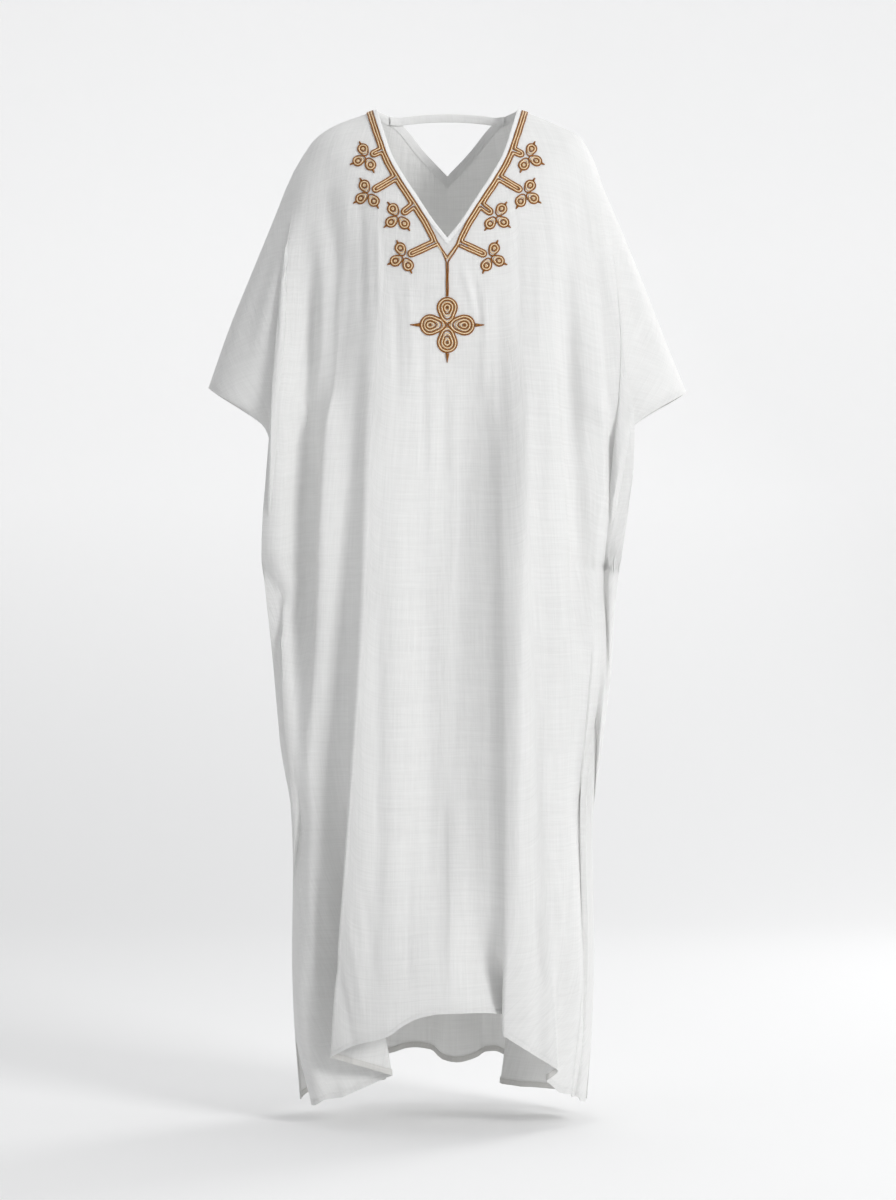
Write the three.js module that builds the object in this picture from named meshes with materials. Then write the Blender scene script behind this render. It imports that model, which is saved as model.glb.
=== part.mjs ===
// A loose ankle-length kaftan of white linen, hanging as it does on a wearer, and empty inside.
// Front and back are each one cut with cut-on batwing sleeves. They meet at the shoulder line and at the
// side seams, and they stay open at the neck, the cuffs, the hem and the slits. Gold cord is laid round the
// front V.
// Millimetres, +Z up, the front faces -Y, +X is the right of someone who faces the garment.
// The origin lies midway between the two neck points, on the shoulder line that the wearer carries.
import * as THREE from "three";

// ---------------------------------------------------------------- driving sizes
const WALL = 1.5;
const HEM_WALL = 2.6;
const SEAM_GAP = 0.3;
const LAID_GAP = 0.75;
const LINEN = { color: 0xeeedea, roughness: 0.92, metalness: 0 };
const GOLD = { color: 0xb9822f, roughness: 0.45, metalness: 0.35 };

const SHOULDER_RADIUS = 50;
const CUFF_DEPTH = 52;
const CUFF_FULL_Z = -450;
const CUFF_TOP_X = 325;
const CUFF_FOOT_Z = -618;
const SLIT_TOP_Z = -1240;
const SLIT_OPEN = 14;
const SLIT_EASE = 110;
const SECTION_POWER = 2.3;

// Neck edges as x, z of one side; the front V is bowed, the back one steps in to meet its strap.
const NECK_HALF = 97;
const FRONT_NECK = curve([[0, -187], [19, -163], [39, -132], [60, -99], [75, -71], [87, -35], [NECK_HALF, 0]]);
const BACK_NECK = curve([[0, -80], [30, -50], [67, -10], [80, -4], [NECK_HALF, 0]]);

// Shoulder and arm line, from neck point to cuff: x, then z on each side.
const SHOULDER_ROWS = [
  { x: NECK_HALF, left: 0, right: 0 },
  { x: 115, left: -7, right: -6 },
  { x: 150, left: -20, right: -21 },
  { x: 178, left: -38, right: -35 },
  { x: 196, left: -62, right: -62 },
  { x: 213, left: -92, right: -108 },
  { x: 232, left: -139, right: -152 },
  { x: 266, left: -222, right: -235 },
  { x: 296, left: -296, right: -312 },
  { x: CUFF_TOP_X, left: -378, right: -384 },
];

// Half-widths below the cuff's top: edge is the cuff edge and then the side seam, and wing is the sleeve's
// outer fold.
const SIDE_ROWS = [
  { z: -222, wingLeft: 220, wingRight: 226 },
  { z: -300, wingLeft: 227, wingRight: 233 },
  { z: -384, wingLeft: 233, edgeLeft: 318, wingRight: 244, edgeRight: CUFF_TOP_X },
  { z: -440, wingLeft: 238, edgeLeft: 243, wingRight: 251, edgeRight: 246 },
  { z: -500, wingLeft: 243, edgeLeft: 230, wingRight: 249, edgeRight: 236 },
  { z: -560, wingLeft: 248, edgeLeft: 233, wingRight: 227, edgeRight: 216 },
  { z: -618, wingLeft: 250, edgeLeft: 241, wingRight: 217, edgeRight: 214 },
  { z: -661, wingLeft: 225, edgeLeft: 233, wingRight: 215, edgeRight: 225 },
  { z: -740, wingLeft: 227, edgeLeft: 235, wingRight: 215, edgeRight: 224 },
  { z: -853, wingLeft: 219, edgeLeft: 228, wingRight: 203, edgeRight: 212 },
  { z: -986, wingLeft: 201, edgeLeft: 209, wingRight: 189, edgeRight: 197 },
  { z: -1146, wingLeft: 203, edgeLeft: 211, wingRight: 192, edgeRight: 200 },
  { z: SLIT_TOP_Z, wingLeft: 200, edgeLeft: 208, wingRight: 189, edgeRight: 197 },
];

// How far the cloth stands out in front of and behind the plane of the shoulder line.
const DEPTH_ROWS = [
  { z: 0, front: 94, back: 92 },
  { z: -150, front: 108, back: 102 },
  { z: -300, front: 114, back: 106 },
  { z: -620, front: 112, back: 112 },
  { z: -850, front: 118, back: 122 },
  { z: -1350, front: 138, back: 150 },
];

// Standing folds. x, turn (degrees) and run (mm) are given at the top edge and at these heights, and at the hem.
// The cloth turns through turn, runs back for run and turns out again. under: which side's cloth lies underneath.
const FOLD_HEIGHTS = [-300, -450, -620, -850, -1080];
const FOLDS = {
  frontLeft: [
    { x: [112, 108, 115, 120, 131, 143, 156], turn: [0, 12, 38, 50, 78, 130, 170], run: [6, 6, 8, 12, 22, 44, 74],
      arc: 15, under: "side", hem: [-1272, -1305], gap: 10, bends: 8, atNeck: true },
    { x: [150, 155, 168, 180, 189, 193, 150], turn: [0, 14, 34, 38, 30, 10, 0], run: [6, 6, 8, 8, 6, 6, 6],
      arc: 9, under: "side", hem: [-1332, -1336], gap: 2, bends: 3 },
  ],
  frontRight: [
    { x: [50, 52, 55, 60, 66, 72, 72], turn: [0, 0, 10, 24, 55, 120, 168], run: [6, 6, 6, 6, 10, 24, 38],
      arc: 14, under: "centre", hem: [-1224, -1244], gap: 3, bends: 7 },
    { x: [107, 109, 114, 121, 130, 142, 148], turn: [0, 0, 5, 10, 18, 26, 100], run: [6, 6, 6, 6, 6, 6, 12],
      arc: 10, under: "side", hem: [-1289, -1304], gap: 5, bends: 5, atNeck: true },
    { x: [140, 149, 161, 180, 188, 184, 165], turn: [0, 16, 38, 38, 18, 6, 0], run: [6, 6, 8, 8, 6, 6, 6],
      arc: 9, under: "side", hem: [-1324, -1329], gap: 2, bends: 3 },
    { x: [190, 202, 210, 212, 197, 184, 173], turn: [0, 24, 44, 38, 8, 0, 0], run: [4, 4, 8, 6, 4, 3, 3],
      arc: 5, under: "side", hem: [-1333, -1336], gap: 2, bends: 3 },
  ],
  backLeft: [
    { x: [112, 104, 100, 102, 110, 122, 140], turn: [0, 8, 16, 32, 62, 118, 166], run: [6, 6, 6, 8, 14, 28, 46],
      arc: 15, under: "side", hem: [-1322, -1332], gap: 7, bends: 7, atNeck: true },
    { x: [150, 160, 172, 184, 190, 188, 162], turn: [0, 14, 32, 36, 24, 8, 0], run: [6, 6, 6, 8, 6, 6, 6],
      arc: 9, under: "side", hem: [-1342, -1343], gap: 3, bends: 3 },
  ],
  backRight: [
    { x: [112, 108, 106, 112, 124, 136, 148], turn: [0, 8, 16, 34, 64, 124, 168], run: [6, 6, 6, 8, 16, 40, 70],
      arc: 15, under: "side", hem: [-1318, -1336], gap: 7, bends: 7, atNeck: true },
    { x: [150, 158, 170, 183, 187, 183, 160], turn: [0, 14, 32, 36, 22, 6, 0], run: [6, 6, 6, 8, 6, 6, 6],
      arc: 9, under: "side", hem: [-1342, -1343], gap: 3, bends: 3 },
  ],
};
const FOLD_EASE = 95;
const NECK_CROWD = 1.8;
const WING = { left: { top: 196 }, right: { top: 218 } };
const WING_SHARE = 0.95;
const WING_GAP = 3;
const EDGE_GAP = 4;
// Columns lie at least LEAST_STEP apart across, and folds and wing end before the outer edge.
const LEAST_STEP = 0.004;
const FOLD_LIMIT = 0.985;
const WING_LIMIT = 0.99;

// Hem: height at the sleeve fold's foot and at the corner, and their half-widths.
const HEM = {
  frontLeft: { wing: -1344, wingX: 177, corner: -1348, cornerX: 184 },
  frontRight: { wing: -1341, wingX: 179, corner: -1345, cornerX: 187 },
  backLeft: { wing: -1345, wingX: 193, corner: -1347, cornerX: 201 },
  backRight: { wing: -1344, wingX: 183, corner: -1346, cornerX: 191 },
};
// The hem's line between the two inner folds, from left to right: x, z.
const HEM_LINE = {
  front: curve([[-151, -1272], [-124, -1257], [-78, -1243], [-57, -1228], [-39, -1219], [-9, -1213], [40, -1212],
    [70, -1215], [112, -1224]]),
  back: curve([[-135, -1322], [-78, -1300], [-43, -1294], [-20, -1299], [-6, -1309], [16, -1312], [40, -1308],
    [53, -1301], [66, -1299], [82, -1304], [143, -1318]]),
};

// Rows of the cloth wall, as parts of the way from its top edge to its hem. The last two bound the turned hem.
const ROWS = [
  0, 0.005, 0.018, 0.045, 0.085, 0.135, 0.19, 0.245, 0.3, 0.39, 0.49, 0.59, 0.69, 0.79, 0.885, 0.94, 0.985, 1,
];
const HEM_ROW = 0.985;

// Neck binding and the strap between the shoulders at the back.
const BINDING_GAP = 0.7;
const BINDING_THICK = 0.9;
const STRAP_WIDE = 11;
const STRAP_THICK = 1.4;
const STRAP_INSET = 5.5;
const STRAP_BARE = 66;
const STRAP_REACH = 78;
const STRAP_Z = -9;
const STRAP_ARCH = 6;
const STRAP_BOW = 6;

// Gold cord work on the front.
const CORD_THICK = 2;
const BAND_FROM = 4.5;
const BAND_WIDE = 9;
// At the foot of the V the band is two cords wide and swings down and away from the neck edge.
const BAND_FOOT_WIDE = 5.5;
const BAND_FOOT_DROP = 9.5;
const BAND_FOOT_X = 28;
const BAR_WIDE = 11;
const BAR_CLEAR = 5.5;
const TREFOIL_LOBE = 8;
const TREFOIL_OUT = 13;
const TREFOIL_TIP = 25;
const TIP_ANGLE = 0.14;
const STEM_WIDE = 4;
const STEM_TOP_Z = -221;
const STEM_FOOT_Z = -263.5;
const PENDANT_Z = -301;
const PENDANT_LOBE = 14;
const PENDANT_OUT = 23;
const PENDANT_TIP = 50;
const MOTIF_EYE = 0.45;

// Where each bar leaves the band and where its motif is centred: half-width and height, from the shoulder down.
const MOTIFS = [
  { bar: [92.5, -66.7], centre: [107.5, -73.5] },
  { bar: [75.5, -107], centre: [104, -124] },
  { bar: [54, -148], centre: [64.5, -156] },
  { bar: [27, -197], centre: [57, -210.5] },
];

// ---------------------------------------------------------------- small maths
// A smooth curve through rows of [at, value] that never swings past them.
function curve(rows) {
  const sorted = [...rows].sort((a, b) => a[0] - b[0]);
  const steps = sorted.slice(1).map((row, i) => (row[1] - sorted[i][1]) / (row[0] - sorted[i][0]));
  const slopes = sorted.map((row, i) => {
    const before = steps[Math.max(i - 1, 0)];
    const after = steps[Math.min(i, steps.length - 1)];
    return before * after <= 0 ? 0 : (2 * before * after) / (before + after);
  });
  return (at) => {
    if (at <= sorted[0][0]) return sorted[0][1];
    if (at >= sorted.at(-1)[0]) return sorted.at(-1)[1];
    const i = sorted.findIndex((row) => row[0] > at) - 1;
    const span = sorted[i + 1][0] - sorted[i][0];
    const t = (at - sorted[i][0]) / span;
    const rise = t * t * (3 - 2 * t);
    const lean = t * (1 - t) * (1 - t) * slopes[i] - t * t * (1 - t) * slopes[i + 1];
    return sorted[i][1] + (sorted[i + 1][1] - sorted[i][1]) * rise + lean * span;
  };
}

const mix = (a, b, t) => a + (b - a) * t;
const clamp = (t) => Math.min(Math.max(t, 0), 1);
const smooth = (t) => clamp(t) ** 2 * (3 - 2 * clamp(t));

// ---------------------------------------------------------------- the form under the folds
const upper = (side) => side[0].toUpperCase() + side.slice(1);

function makeOutline(side) {
  const line = SHOULDER_ROWS.map((row) => [row.x, row[side]]);
  const wingRows = SIDE_ROWS.map((row) => [row.z, row[`wing${upper(side)}`]]);
  const edgeRows = SIDE_ROWS.filter((row) => row[`edge${upper(side)}`] !== undefined);
  const shoulder = curve(line);
  const steps = 40;
  const samples = [...Array(steps + 1).keys()].map((i) => {
    const x = mix(NECK_HALF, CUFF_TOP_X, i / steps);
    return [x, shoulder(x)];
  });
  return {
    shoulder,
    samples,
    lineX: curve(line.map(([x, z]) => [z, x])),
    cuffTopZ: line.at(-1)[1],
    wingTopZ: shoulder(WING[side].top),
    wingRows,
    edgeRows: edgeRows.map((row) => [row.z, row[`edge${upper(side)}`]]),
  };
}

const OUTLINE = { left: makeOutline("left"), right: makeOutline("right") };
const DEPTH = {
  front: curve(DEPTH_ROWS.map((row) => [row.z, row.front])),
  back: curve(DEPTH_ROWS.map((row) => [row.z, row.back])),
};

// Distance, seen from the front, to the shoulder and arm line.
function shoulderDistance(side, x, z) {
  let nearest = Infinity;
  const samples = OUTLINE[side].samples;
  for (let i = 1; i < samples.length; i += 1) {
    const [ax, az] = samples[i - 1];
    const [bx, bz] = samples[i];
    const along = clamp(((x - ax) * (bx - ax) + (z - az) * (bz - az)) / ((bx - ax) ** 2 + (bz - az) ** 2));
    nearest = Math.min(nearest, Math.hypot(x - mix(ax, bx, along), z - mix(az, bz, along)));
  }
  return nearest;
}

// Depth at the outer edge: the open cuff, nothing along the side seam, and the parted slit.
function edgeDepth(z) {
  const closing = clamp((CUFF_FULL_Z - z) / (CUFF_FULL_Z - CUFF_FOOT_Z));
  if (z > CUFF_FOOT_Z) return CUFF_DEPTH * Math.sqrt(1 - closing ** 2);
  return SLIT_OPEN * smooth((SLIT_TOP_Z - z) / SLIT_EASE);
}

// Depth of the smooth form where a point lies across, from 0 at the centre to 1 at the outer edge.
function formDepth(side, face, x, across, z) {
  const rim = edgeDepth(z);
  const oval = (1 - clamp(across) ** SECTION_POWER) ** (1 / SECTION_POWER);
  const full = Math.max(rim + (DEPTH[face](z) - rim) * oval, 0.01);
  const part = clamp((shoulderDistance(side, x, z) * SHOULDER_RADIUS) / full ** 2);
  return full * Math.sqrt(1 - (1 - part) ** 2);
}

// Half-width of the form at a height, used to say how far across a point lies.
function formWidth(side, wing, edge, z) {
  const outline = OUTLINE[side];
  if (z >= outline.cuffTopZ) return outline.lineX(z);
  return Math.max(edge(z), wing(z) / WING_SHARE);
}

// ---------------------------------------------------------------- folds
// The path of a fold seen from above: how far along and how far inward, at a part of its own length.
function foldPath(part, turn, run, arc) {
  const angle = Math.max((turn * Math.PI) / 180, 0.001);
  const radius = arc / angle;
  const at = part * (2 * arc + run);
  const first = Math.min(at, arc);
  const middle = clamp((at - arc) / run) * run;
  const last = Math.max(at - arc - run, 0);
  return {
    along: radius * Math.sin(first / radius) + middle * Math.cos(angle)
      + radius * (Math.sin(angle) - Math.sin(angle - last / radius)),
    inward: radius * (1 - Math.cos(first / radius)) + middle * Math.sin(angle)
      + radius * (Math.cos(angle - last / radius) - Math.cos(angle)),
  };
}

function makeFold(row, topEdge) {
  const topZ = topEdge(row.x[0]);
  const hemZ = (row.hem[0] + row.hem[1]) / 2;
  const track = (values) => curve([[topZ, values[0]], ...FOLD_HEIGHTS.map((z, i) => [z, values[i + 1]]),
    [hemZ, values.at(-1)]]);
  const xAt = track(row.x);
  const turnAt = track(row.turn);
  const runAt = track(row.run);
  return {
    ...row,
    section(v) {
      const z = mix(topZ, hemZ, v);
      const turn = turnAt(z);
      const run = runAt(z);
      const angle = Math.max((turn * Math.PI) / 180, 0.001);
      const crest = (row.arc / angle) * Math.sin(Math.min(angle, Math.PI / 2));
      const whole = foldPath(1, turn, run, row.arc);
      const points = [...Array(row.bends + 1).keys()].map((i) => {
        const part = i / row.bends;
        if (row.under === "side") {
          const step = foldPath(part, turn, run, row.arc);
          return { x: xAt(z) - crest + step.along, inward: step.inward };
        }
        const step = foldPath(1 - part, turn, run, row.arc);
        return { x: xAt(z) + crest - step.along, inward: step.inward };
      });
      return { z, points, depth: whole.inward };
    },
  };
}

// ---------------------------------------------------------------- one half of a panel
function makeHalf(face, side) {
  const name = `${face}${upper(side)}`;
  const neck = face === "front" ? FRONT_NECK : BACK_NECK;
  const outline = OUTLINE[side];
  const hem = HEM[name];
  const sign = side === "left" ? -1 : 1;
  const topEdge = (x) => (x < NECK_HALF ? neck(x) : outline.shoulder(x));
  const folds = FOLDS[name].map((row) => makeFold(row, topEdge));
  const wingAt = curve([[outline.wingTopZ, WING[side].top], ...outline.wingRows, [hem.wing, hem.wingX]]);
  const edgeAt = curve([[outline.cuffTopZ, CUFF_TOP_X], ...outline.edgeRows, [hem.corner, hem.cornerX]]
    .filter(([z], i) => i === 0 || z < outline.cuffTopZ - 10));

  // The bare section at v: x and how far across each column lies, and how far the folds push it in.
  function section(v) {
    const columns = [{ x: 0, across: 0, hem: HEM_LINE[face](0), push: 0 }];
    const sunk = [];
    let last = columns[0];
    for (const fold of folds) {
      const cut = fold.section(v);
      const hemX = fold.section(1).points[0].x;
      const width = formWidth(side, wingAt, edgeAt, cut.z);
      const first = cut.points[0];
      const start = Math.max(first.x / width, last.across + LEAST_STEP);
      const grow = Math.max((cut.points.at(-1).x - first.x) / width, LEAST_STEP);
      for (let i = 1; i < fold.gap; i += 1) {
        const t = fold.atNeck ? 1 - (1 - i / fold.gap) ** NECK_CROWD : i / fold.gap;
        const line = fold === folds[0] ? HEM_LINE[face](sign * hemX * t) : mix(last.hem, fold.hem[0], t);
        columns.push({ x: mix(last.x, first.x, t), across: mix(last.across, start, t), hem: line, push: 0 });
      }
      cut.points.forEach((point, i) => {
        const t = i / fold.bends;
        columns.push({ x: point.x, across: Math.min(start + grow * t, FOLD_LIMIT),
          hem: mix(fold.hem[0], fold.hem[1], t), push: point.inward });
      });
      last = columns.at(-1);
      sunk.push({ from: start, to: last.across, depth: cut.depth, ease: FOLD_EASE / width, under: fold.under });
    }
    const wingZ = mix(outline.wingTopZ, hem.wing, v);
    const wing = { x: wingAt(wingZ), hem: hem.wing, push: 0 };
    const wingAcross = Math.max(wing.x / formWidth(side, wingAt, edgeAt, wingZ), last.across + LEAST_STEP);
    wing.across = Math.min(wingAcross, WING_LIMIT);
    for (let i = 1; i <= WING_GAP; i += 1) {
      const t = i / WING_GAP;
      columns.push({ x: mix(last.x, wing.x, t), across: mix(last.across, wing.across, t),
        hem: mix(last.hem, wing.hem, t), push: 0 });
    }
    const edgeX = edgeAt(mix(outline.cuffTopZ, hem.corner, v));
    for (let i = 1; i <= EDGE_GAP; i += 1) {
      const t = 1 - (1 - i / EDGE_GAP) ** 2;
      columns.push({ x: mix(wing.x, edgeX, t), across: mix(wing.across, 1, t), hem: mix(hem.wing, hem.corner, t),
        push: 0 });
    }
    for (const fold of sunk) {
      for (const column of columns) {
        const beyond = fold.under === "side" ? column.across - fold.to : fold.from - column.across;
        const room = fold.under === "side" ? Math.min(fold.ease, 1 - fold.to) : Math.min(fold.ease, fold.from);
        if (beyond > 1e-9) column.push += fold.depth * (1 - smooth(beyond / room));
      }
    }
    return columns;
  }

  const top = section(0);
  const topZ = top.map((column) => topEdge(column.x));
  return {
    columns: top.length,
    neckColumns: top.findIndex((column) => column.x >= NECK_HALF),
    topX: top.map((column) => column.x),
    row(v) {
      return section(v).map((column, i) => {
        const z = mix(topZ[i], column.hem, v);
        const depth = formDepth(side, face, column.x, column.across, z);
        const out = Math.max(depth - column.push, SEAM_GAP / 2);
        return new THREE.Vector3(sign * column.x, face === "front" ? -out : out, z);
      });
    },
  };
}

const HALVES = {
  front: { left: makeHalf("front", "left"), right: makeHalf("front", "right") },
  back: { left: makeHalf("back", "left"), right: makeHalf("back", "right") },
};

// ---------------------------------------------------------------- solids
// A mesh from points and triangles, turned so that its faces point out.
function solidGeometry(points, triangles) {
  const volume = triangles.reduce((sum, [a, b, c]) => {
    return sum + points[a].dot(points[b].clone().cross(points[c]));
  }, 0);
  const index = triangles.flatMap(([a, b, c]) => (volume > 0 ? [a, b, c] : [a, c, b]));
  const geometry = new THREE.BufferGeometry();
  geometry.setAttribute("position", new THREE.Float32BufferAttribute(points.flatMap((p) => p.toArray()), 3));
  geometry.setIndex(index);
  return geometry;
}

// A closed wall from a grid of outer points and the same grid of inner points.
function shellGeometry(outer, inner) {
  const rows = outer.length;
  const columns = outer[0].length;
  const triangles = [];
  const at = (layer, r, c) => layer * rows * columns + r * columns + c;
  const quad = (a, b, c, d) => triangles.push([a, b, c], [a, c, d]);
  for (let r = 0; r < rows - 1; r += 1) {
    for (let c = 0; c < columns - 1; c += 1) {
      const falling = outer[r][c].distanceTo(outer[r + 1][c + 1]);
      const rising = outer[r + 1][c].distanceTo(outer[r][c + 1]);
      const [a, b] = [[r, c], [r + 1, c]];
      const [d, e] = [[r + 1, c + 1], [r, c + 1]];
      const ring = falling <= rising ? [a, b, d, e] : [b, d, e, a];
      quad(...ring.map(([i, j]) => at(0, i, j)));
      quad(...[ring[0], ring[3], ring[2], ring[1]].map(([i, j]) => at(1, i, j)));
    }
  }
  for (let r = 0; r < rows - 1; r += 1) {
    quad(at(0, r, 0), at(1, r, 0), at(1, r + 1, 0), at(0, r + 1, 0));
    quad(at(0, r, columns - 1), at(0, r + 1, columns - 1), at(1, r + 1, columns - 1), at(1, r, columns - 1));
  }
  for (let c = 0; c < columns - 1; c += 1) {
    quad(at(0, 0, c), at(0, 0, c + 1), at(1, 0, c + 1), at(1, 0, c));
    quad(at(0, rows - 1, c), at(1, rows - 1, c), at(1, rows - 1, c + 1), at(0, rows - 1, c + 1));
  }
  return solidGeometry([...outer.flat(), ...inner.flat()], triangles);
}

function addNode(name, geometry, finish) {
  const node = new THREE.Mesh(geometry, new THREE.MeshStandardMaterial({ ...finish }));
  node.name = name;
  kaftan.add(node);
}

// ---------------------------------------------------------------- front and back panels
function gridNormals(grid) {
  return grid.map((row, r) => row.map((point, c) => {
    const up = grid[Math.max(r - 1, 0)][c];
    const down = grid[Math.min(r + 1, grid.length - 1)][c];
    const left = row[Math.max(c - 1, 0)];
    const right = row[Math.min(c + 1, row.length - 1)];
    return right.clone().sub(left).cross(up.clone().sub(down)).normalize();
  }));
}

function makePanelGrid(face) {
  const halves = HALVES[face];
  const points = ROWS.map((v) => [...halves.left.row(v).reverse(), ...halves.right.row(v).slice(1)]);
  const outward = face === "front" ? 1 : -1;
  const normals = gridNormals(points).map((row) => row.map((normal) => normal.multiplyScalar(outward)));
  const centre = halves.left.columns - 1;
  return { points, normals, neck: [centre - halves.left.neckColumns, centre + halves.right.neckColumns] };
}

const PANELS = { front: makePanelGrid("front"), back: makePanelGrid("back") };

function panelGeometry(face) {
  const { points, normals, neck } = PANELS[face];
  const last = points[0].length - 1;
  const inner = points.map((row, r) => row.map((point, c) => {
    const normal = normals[r][c].clone();
    const onShoulder = r === 0 && (c <= neck[0] || c >= neck[1]);
    const onSide = (c === 0 || c === last) && point.z < CUFF_FOOT_Z && point.z > SLIT_TOP_Z;
    if (onShoulder || onSide) normal.setY(0).normalize();
    return point.clone().addScaledVector(normal, -(ROWS[r] >= HEM_ROW ? HEM_WALL : WALL));
  }));
  return shellGeometry(points, inner);
}

// ---------------------------------------------------------------- neck bindings
// A strip folded over the neck edge: a narrow leg outside, a wide leg inside, both made from the panel's points.
function bindingGeometry(face) {
  const { points, normals, neck } = PANELS[face];
  const sign = face === "front" ? -1 : 1;
  const legs = [
    { row: 1, out: BINDING_GAP, past: 0 },
    { row: 0, out: BINDING_GAP, past: BINDING_GAP },
    { row: 0, out: -WALL - BINDING_GAP, past: BINDING_GAP },
    { row: 1, out: -WALL - BINDING_GAP, past: 0 },
    { row: 2, out: -WALL - BINDING_GAP, past: 0 },
  ];
  const layer = (thick) => legs.map(({ row, out, past }) => {
    const line = [];
    for (let c = neck[0]; c <= neck[1]; c += 1) {
      const along = points[0][Math.min(c + 1, neck[1])].clone().sub(points[0][Math.max(c - 1, neck[0])]);
      const normal = normals[row][c].clone();
      const edgeNormal = normals[0][c].clone();
      if (c === neck[0] || c === neck[1]) {
        edgeNormal.setY(0).normalize();
        if (row === 0) normal.copy(edgeNormal);
      }
      const open = along.normalize().cross(edgeNormal).multiplyScalar(sign).normalize();
      const point = points[row][c].clone();
      point.addScaledVector(normal, out + (out > 0 ? thick : -thick));
      point.addScaledVector(open, past > 0 ? past + thick : 0);
      point.y = sign * Math.max(sign * point.y, SEAM_GAP / 2);
      line.push(point);
    }
    return line;
  });
  return shellGeometry(layer(BINDING_THICK), layer(0));
}

// ---------------------------------------------------------------- points on the chest and upper back
function chestPoint(face, x, z) {
  const side = x < 0 ? "left" : "right";
  const width = OUTLINE[side].lineX(z);
  const depth = Math.max(formDepth(side, face, Math.abs(x), Math.abs(x) / width, z), SEAM_GAP / 2);
  return new THREE.Vector3(x, face === "front" ? -depth : depth, z);
}

// A point at a height above the panel's outer face.
function liftedPoint(face, x, z, height) {
  const step = 1;
  const across = chestPoint(face, x + step, z).sub(chestPoint(face, x - step, z));
  const up = chestPoint(face, x, z + step).sub(chestPoint(face, x, z - step));
  const normal = across.cross(up).normalize();
  if (face === "back") normal.negate();
  return chestPoint(face, x, z).addScaledVector(normal, height);
}

// A point on the front at a distance from the neck edge, beside the edge's point at half-width x.
function besideNeck(side, x, distance, height) {
  const sign = side === "left" ? -1 : 1;
  if (x >= NECK_HALF) {
    const slope = Math.atan2(-OUTLINE[side].shoulder(NECK_HALF + distance), distance);
    const reach = NECK_HALF + distance * Math.cos(slope) + height * Math.sin(slope);
    return new THREE.Vector3(sign * reach, -SEAM_GAP / 2, height * Math.cos(slope) - distance * Math.sin(slope));
  }
  const step = 0.5;
  const angle = Math.atan2(FRONT_NECK(x + step) - FRONT_NECK(Math.max(x - step, 0)), x > 0 ? 2 * step : step);
  if (x === 0) return liftedPoint("front", sign * SEAM_GAP, FRONT_NECK(0) - distance / Math.cos(angle), height);
  return liftedPoint("front", sign * (x + distance * Math.sin(angle)), FRONT_NECK(x) - distance * Math.cos(angle),
    height);
}

// ---------------------------------------------------------------- gold cord work
// A flat raised strip whose stations are [inner, outer] functions of height.
function stripGeometry(stations) {
  const layer = (height) => stations.map((station) => station.map((place) => place(height)));
  return shellGeometry(layer(LAID_GAP + CORD_THICK), layer(LAID_GAP));
}

function bandGeometry(side) {
  const edge = [...HALVES.front[side].topX.filter((x) => x < NECK_HALF - 0.01), NECK_HALF];
  return stripGeometry(edge.map((x) => {
    const foot = clamp(1 - x / BAND_FOOT_X);
    const from = BAND_FROM + BAND_FOOT_DROP * foot ** 2;
    const wide = mix(BAND_WIDE, BAND_FOOT_WIDE, smooth(2 * foot));
    return [from, from + wide].map((distance) => (height) => besideNeck(side, x, distance, height));
  }));
}

// A strip of even width from one place on the chest to another.
function barGeometry(from, to, width, steps) {
  const length = Math.hypot(to[0] - from[0], to[1] - from[1]);
  const offX = (-(to[1] - from[1]) / length) * (width / 2);
  const offZ = ((to[0] - from[0]) / length) * (width / 2);
  const stations = [...Array(steps + 1).keys()].map((i) => {
    const x = mix(from[0], to[0], i / steps);
    const z = mix(from[1], to[1], i / steps);
    return [1, -1].map((way) => (height) => liftedPoint("front", x + way * offX, z + way * offZ, height));
  });
  return stripGeometry(stations);
}

// How far a motif of round lobes with pointed tips reaches in a direction.
function motifReach(angle, lobes, radius, distance) {
  let reach = radius * MOTIF_EYE;
  for (const lobe of lobes) {
    const off = Math.atan2(Math.sin(angle - lobe.angle), Math.cos(angle - lobe.angle));
    const chord = radius ** 2 - (distance * Math.sin(off)) ** 2;
    if (Math.cos(off) > 0 && chord > 0) reach = Math.max(reach, distance * Math.cos(off) + Math.sqrt(chord));
    const aside = Math.abs(off) / TIP_ANGLE;
    if (aside < 1) reach = Math.max(reach, mix(lobe.tip, distance + radius, aside));
  }
  return reach;
}

function motifGeometry(centre, lobes, radius, distance, count) {
  const place = (i, part, height) => {
    const angle = (i / count) * 2 * Math.PI;
    const reach = motifReach(angle, lobes, radius, distance) * part;
    return liftedPoint("front", centre[0] + reach * Math.cos(angle), centre[1] + reach * Math.sin(angle), height);
  };
  const rings = [0.5, 1];
  const points = [LAID_GAP + CORD_THICK, LAID_GAP].flatMap((height) => [
    liftedPoint("front", centre[0], centre[1], height),
    ...rings.flatMap((part) => [...Array(count).keys()].map((i) => place(i, part, height))),
  ]);
  const layer = 1 + rings.length * count;
  const triangles = [];
  for (let i = 0; i < count; i += 1) {
    const j = (i + 1) % count;
    const [a, b, c, d] = [1 + i, 1 + j, 1 + count + i, 1 + count + j];
    triangles.push([0, a, b], [a, c, d], [a, d, b]);
    triangles.push([layer, layer + b, layer + a]);
    triangles.push([layer + a, layer + d, layer + c], [layer + a, layer + b, layer + d]);
    triangles.push([c, layer + c, layer + d], [c, layer + d, d]);
  }
  return solidGeometry(points, triangles);
}

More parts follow.
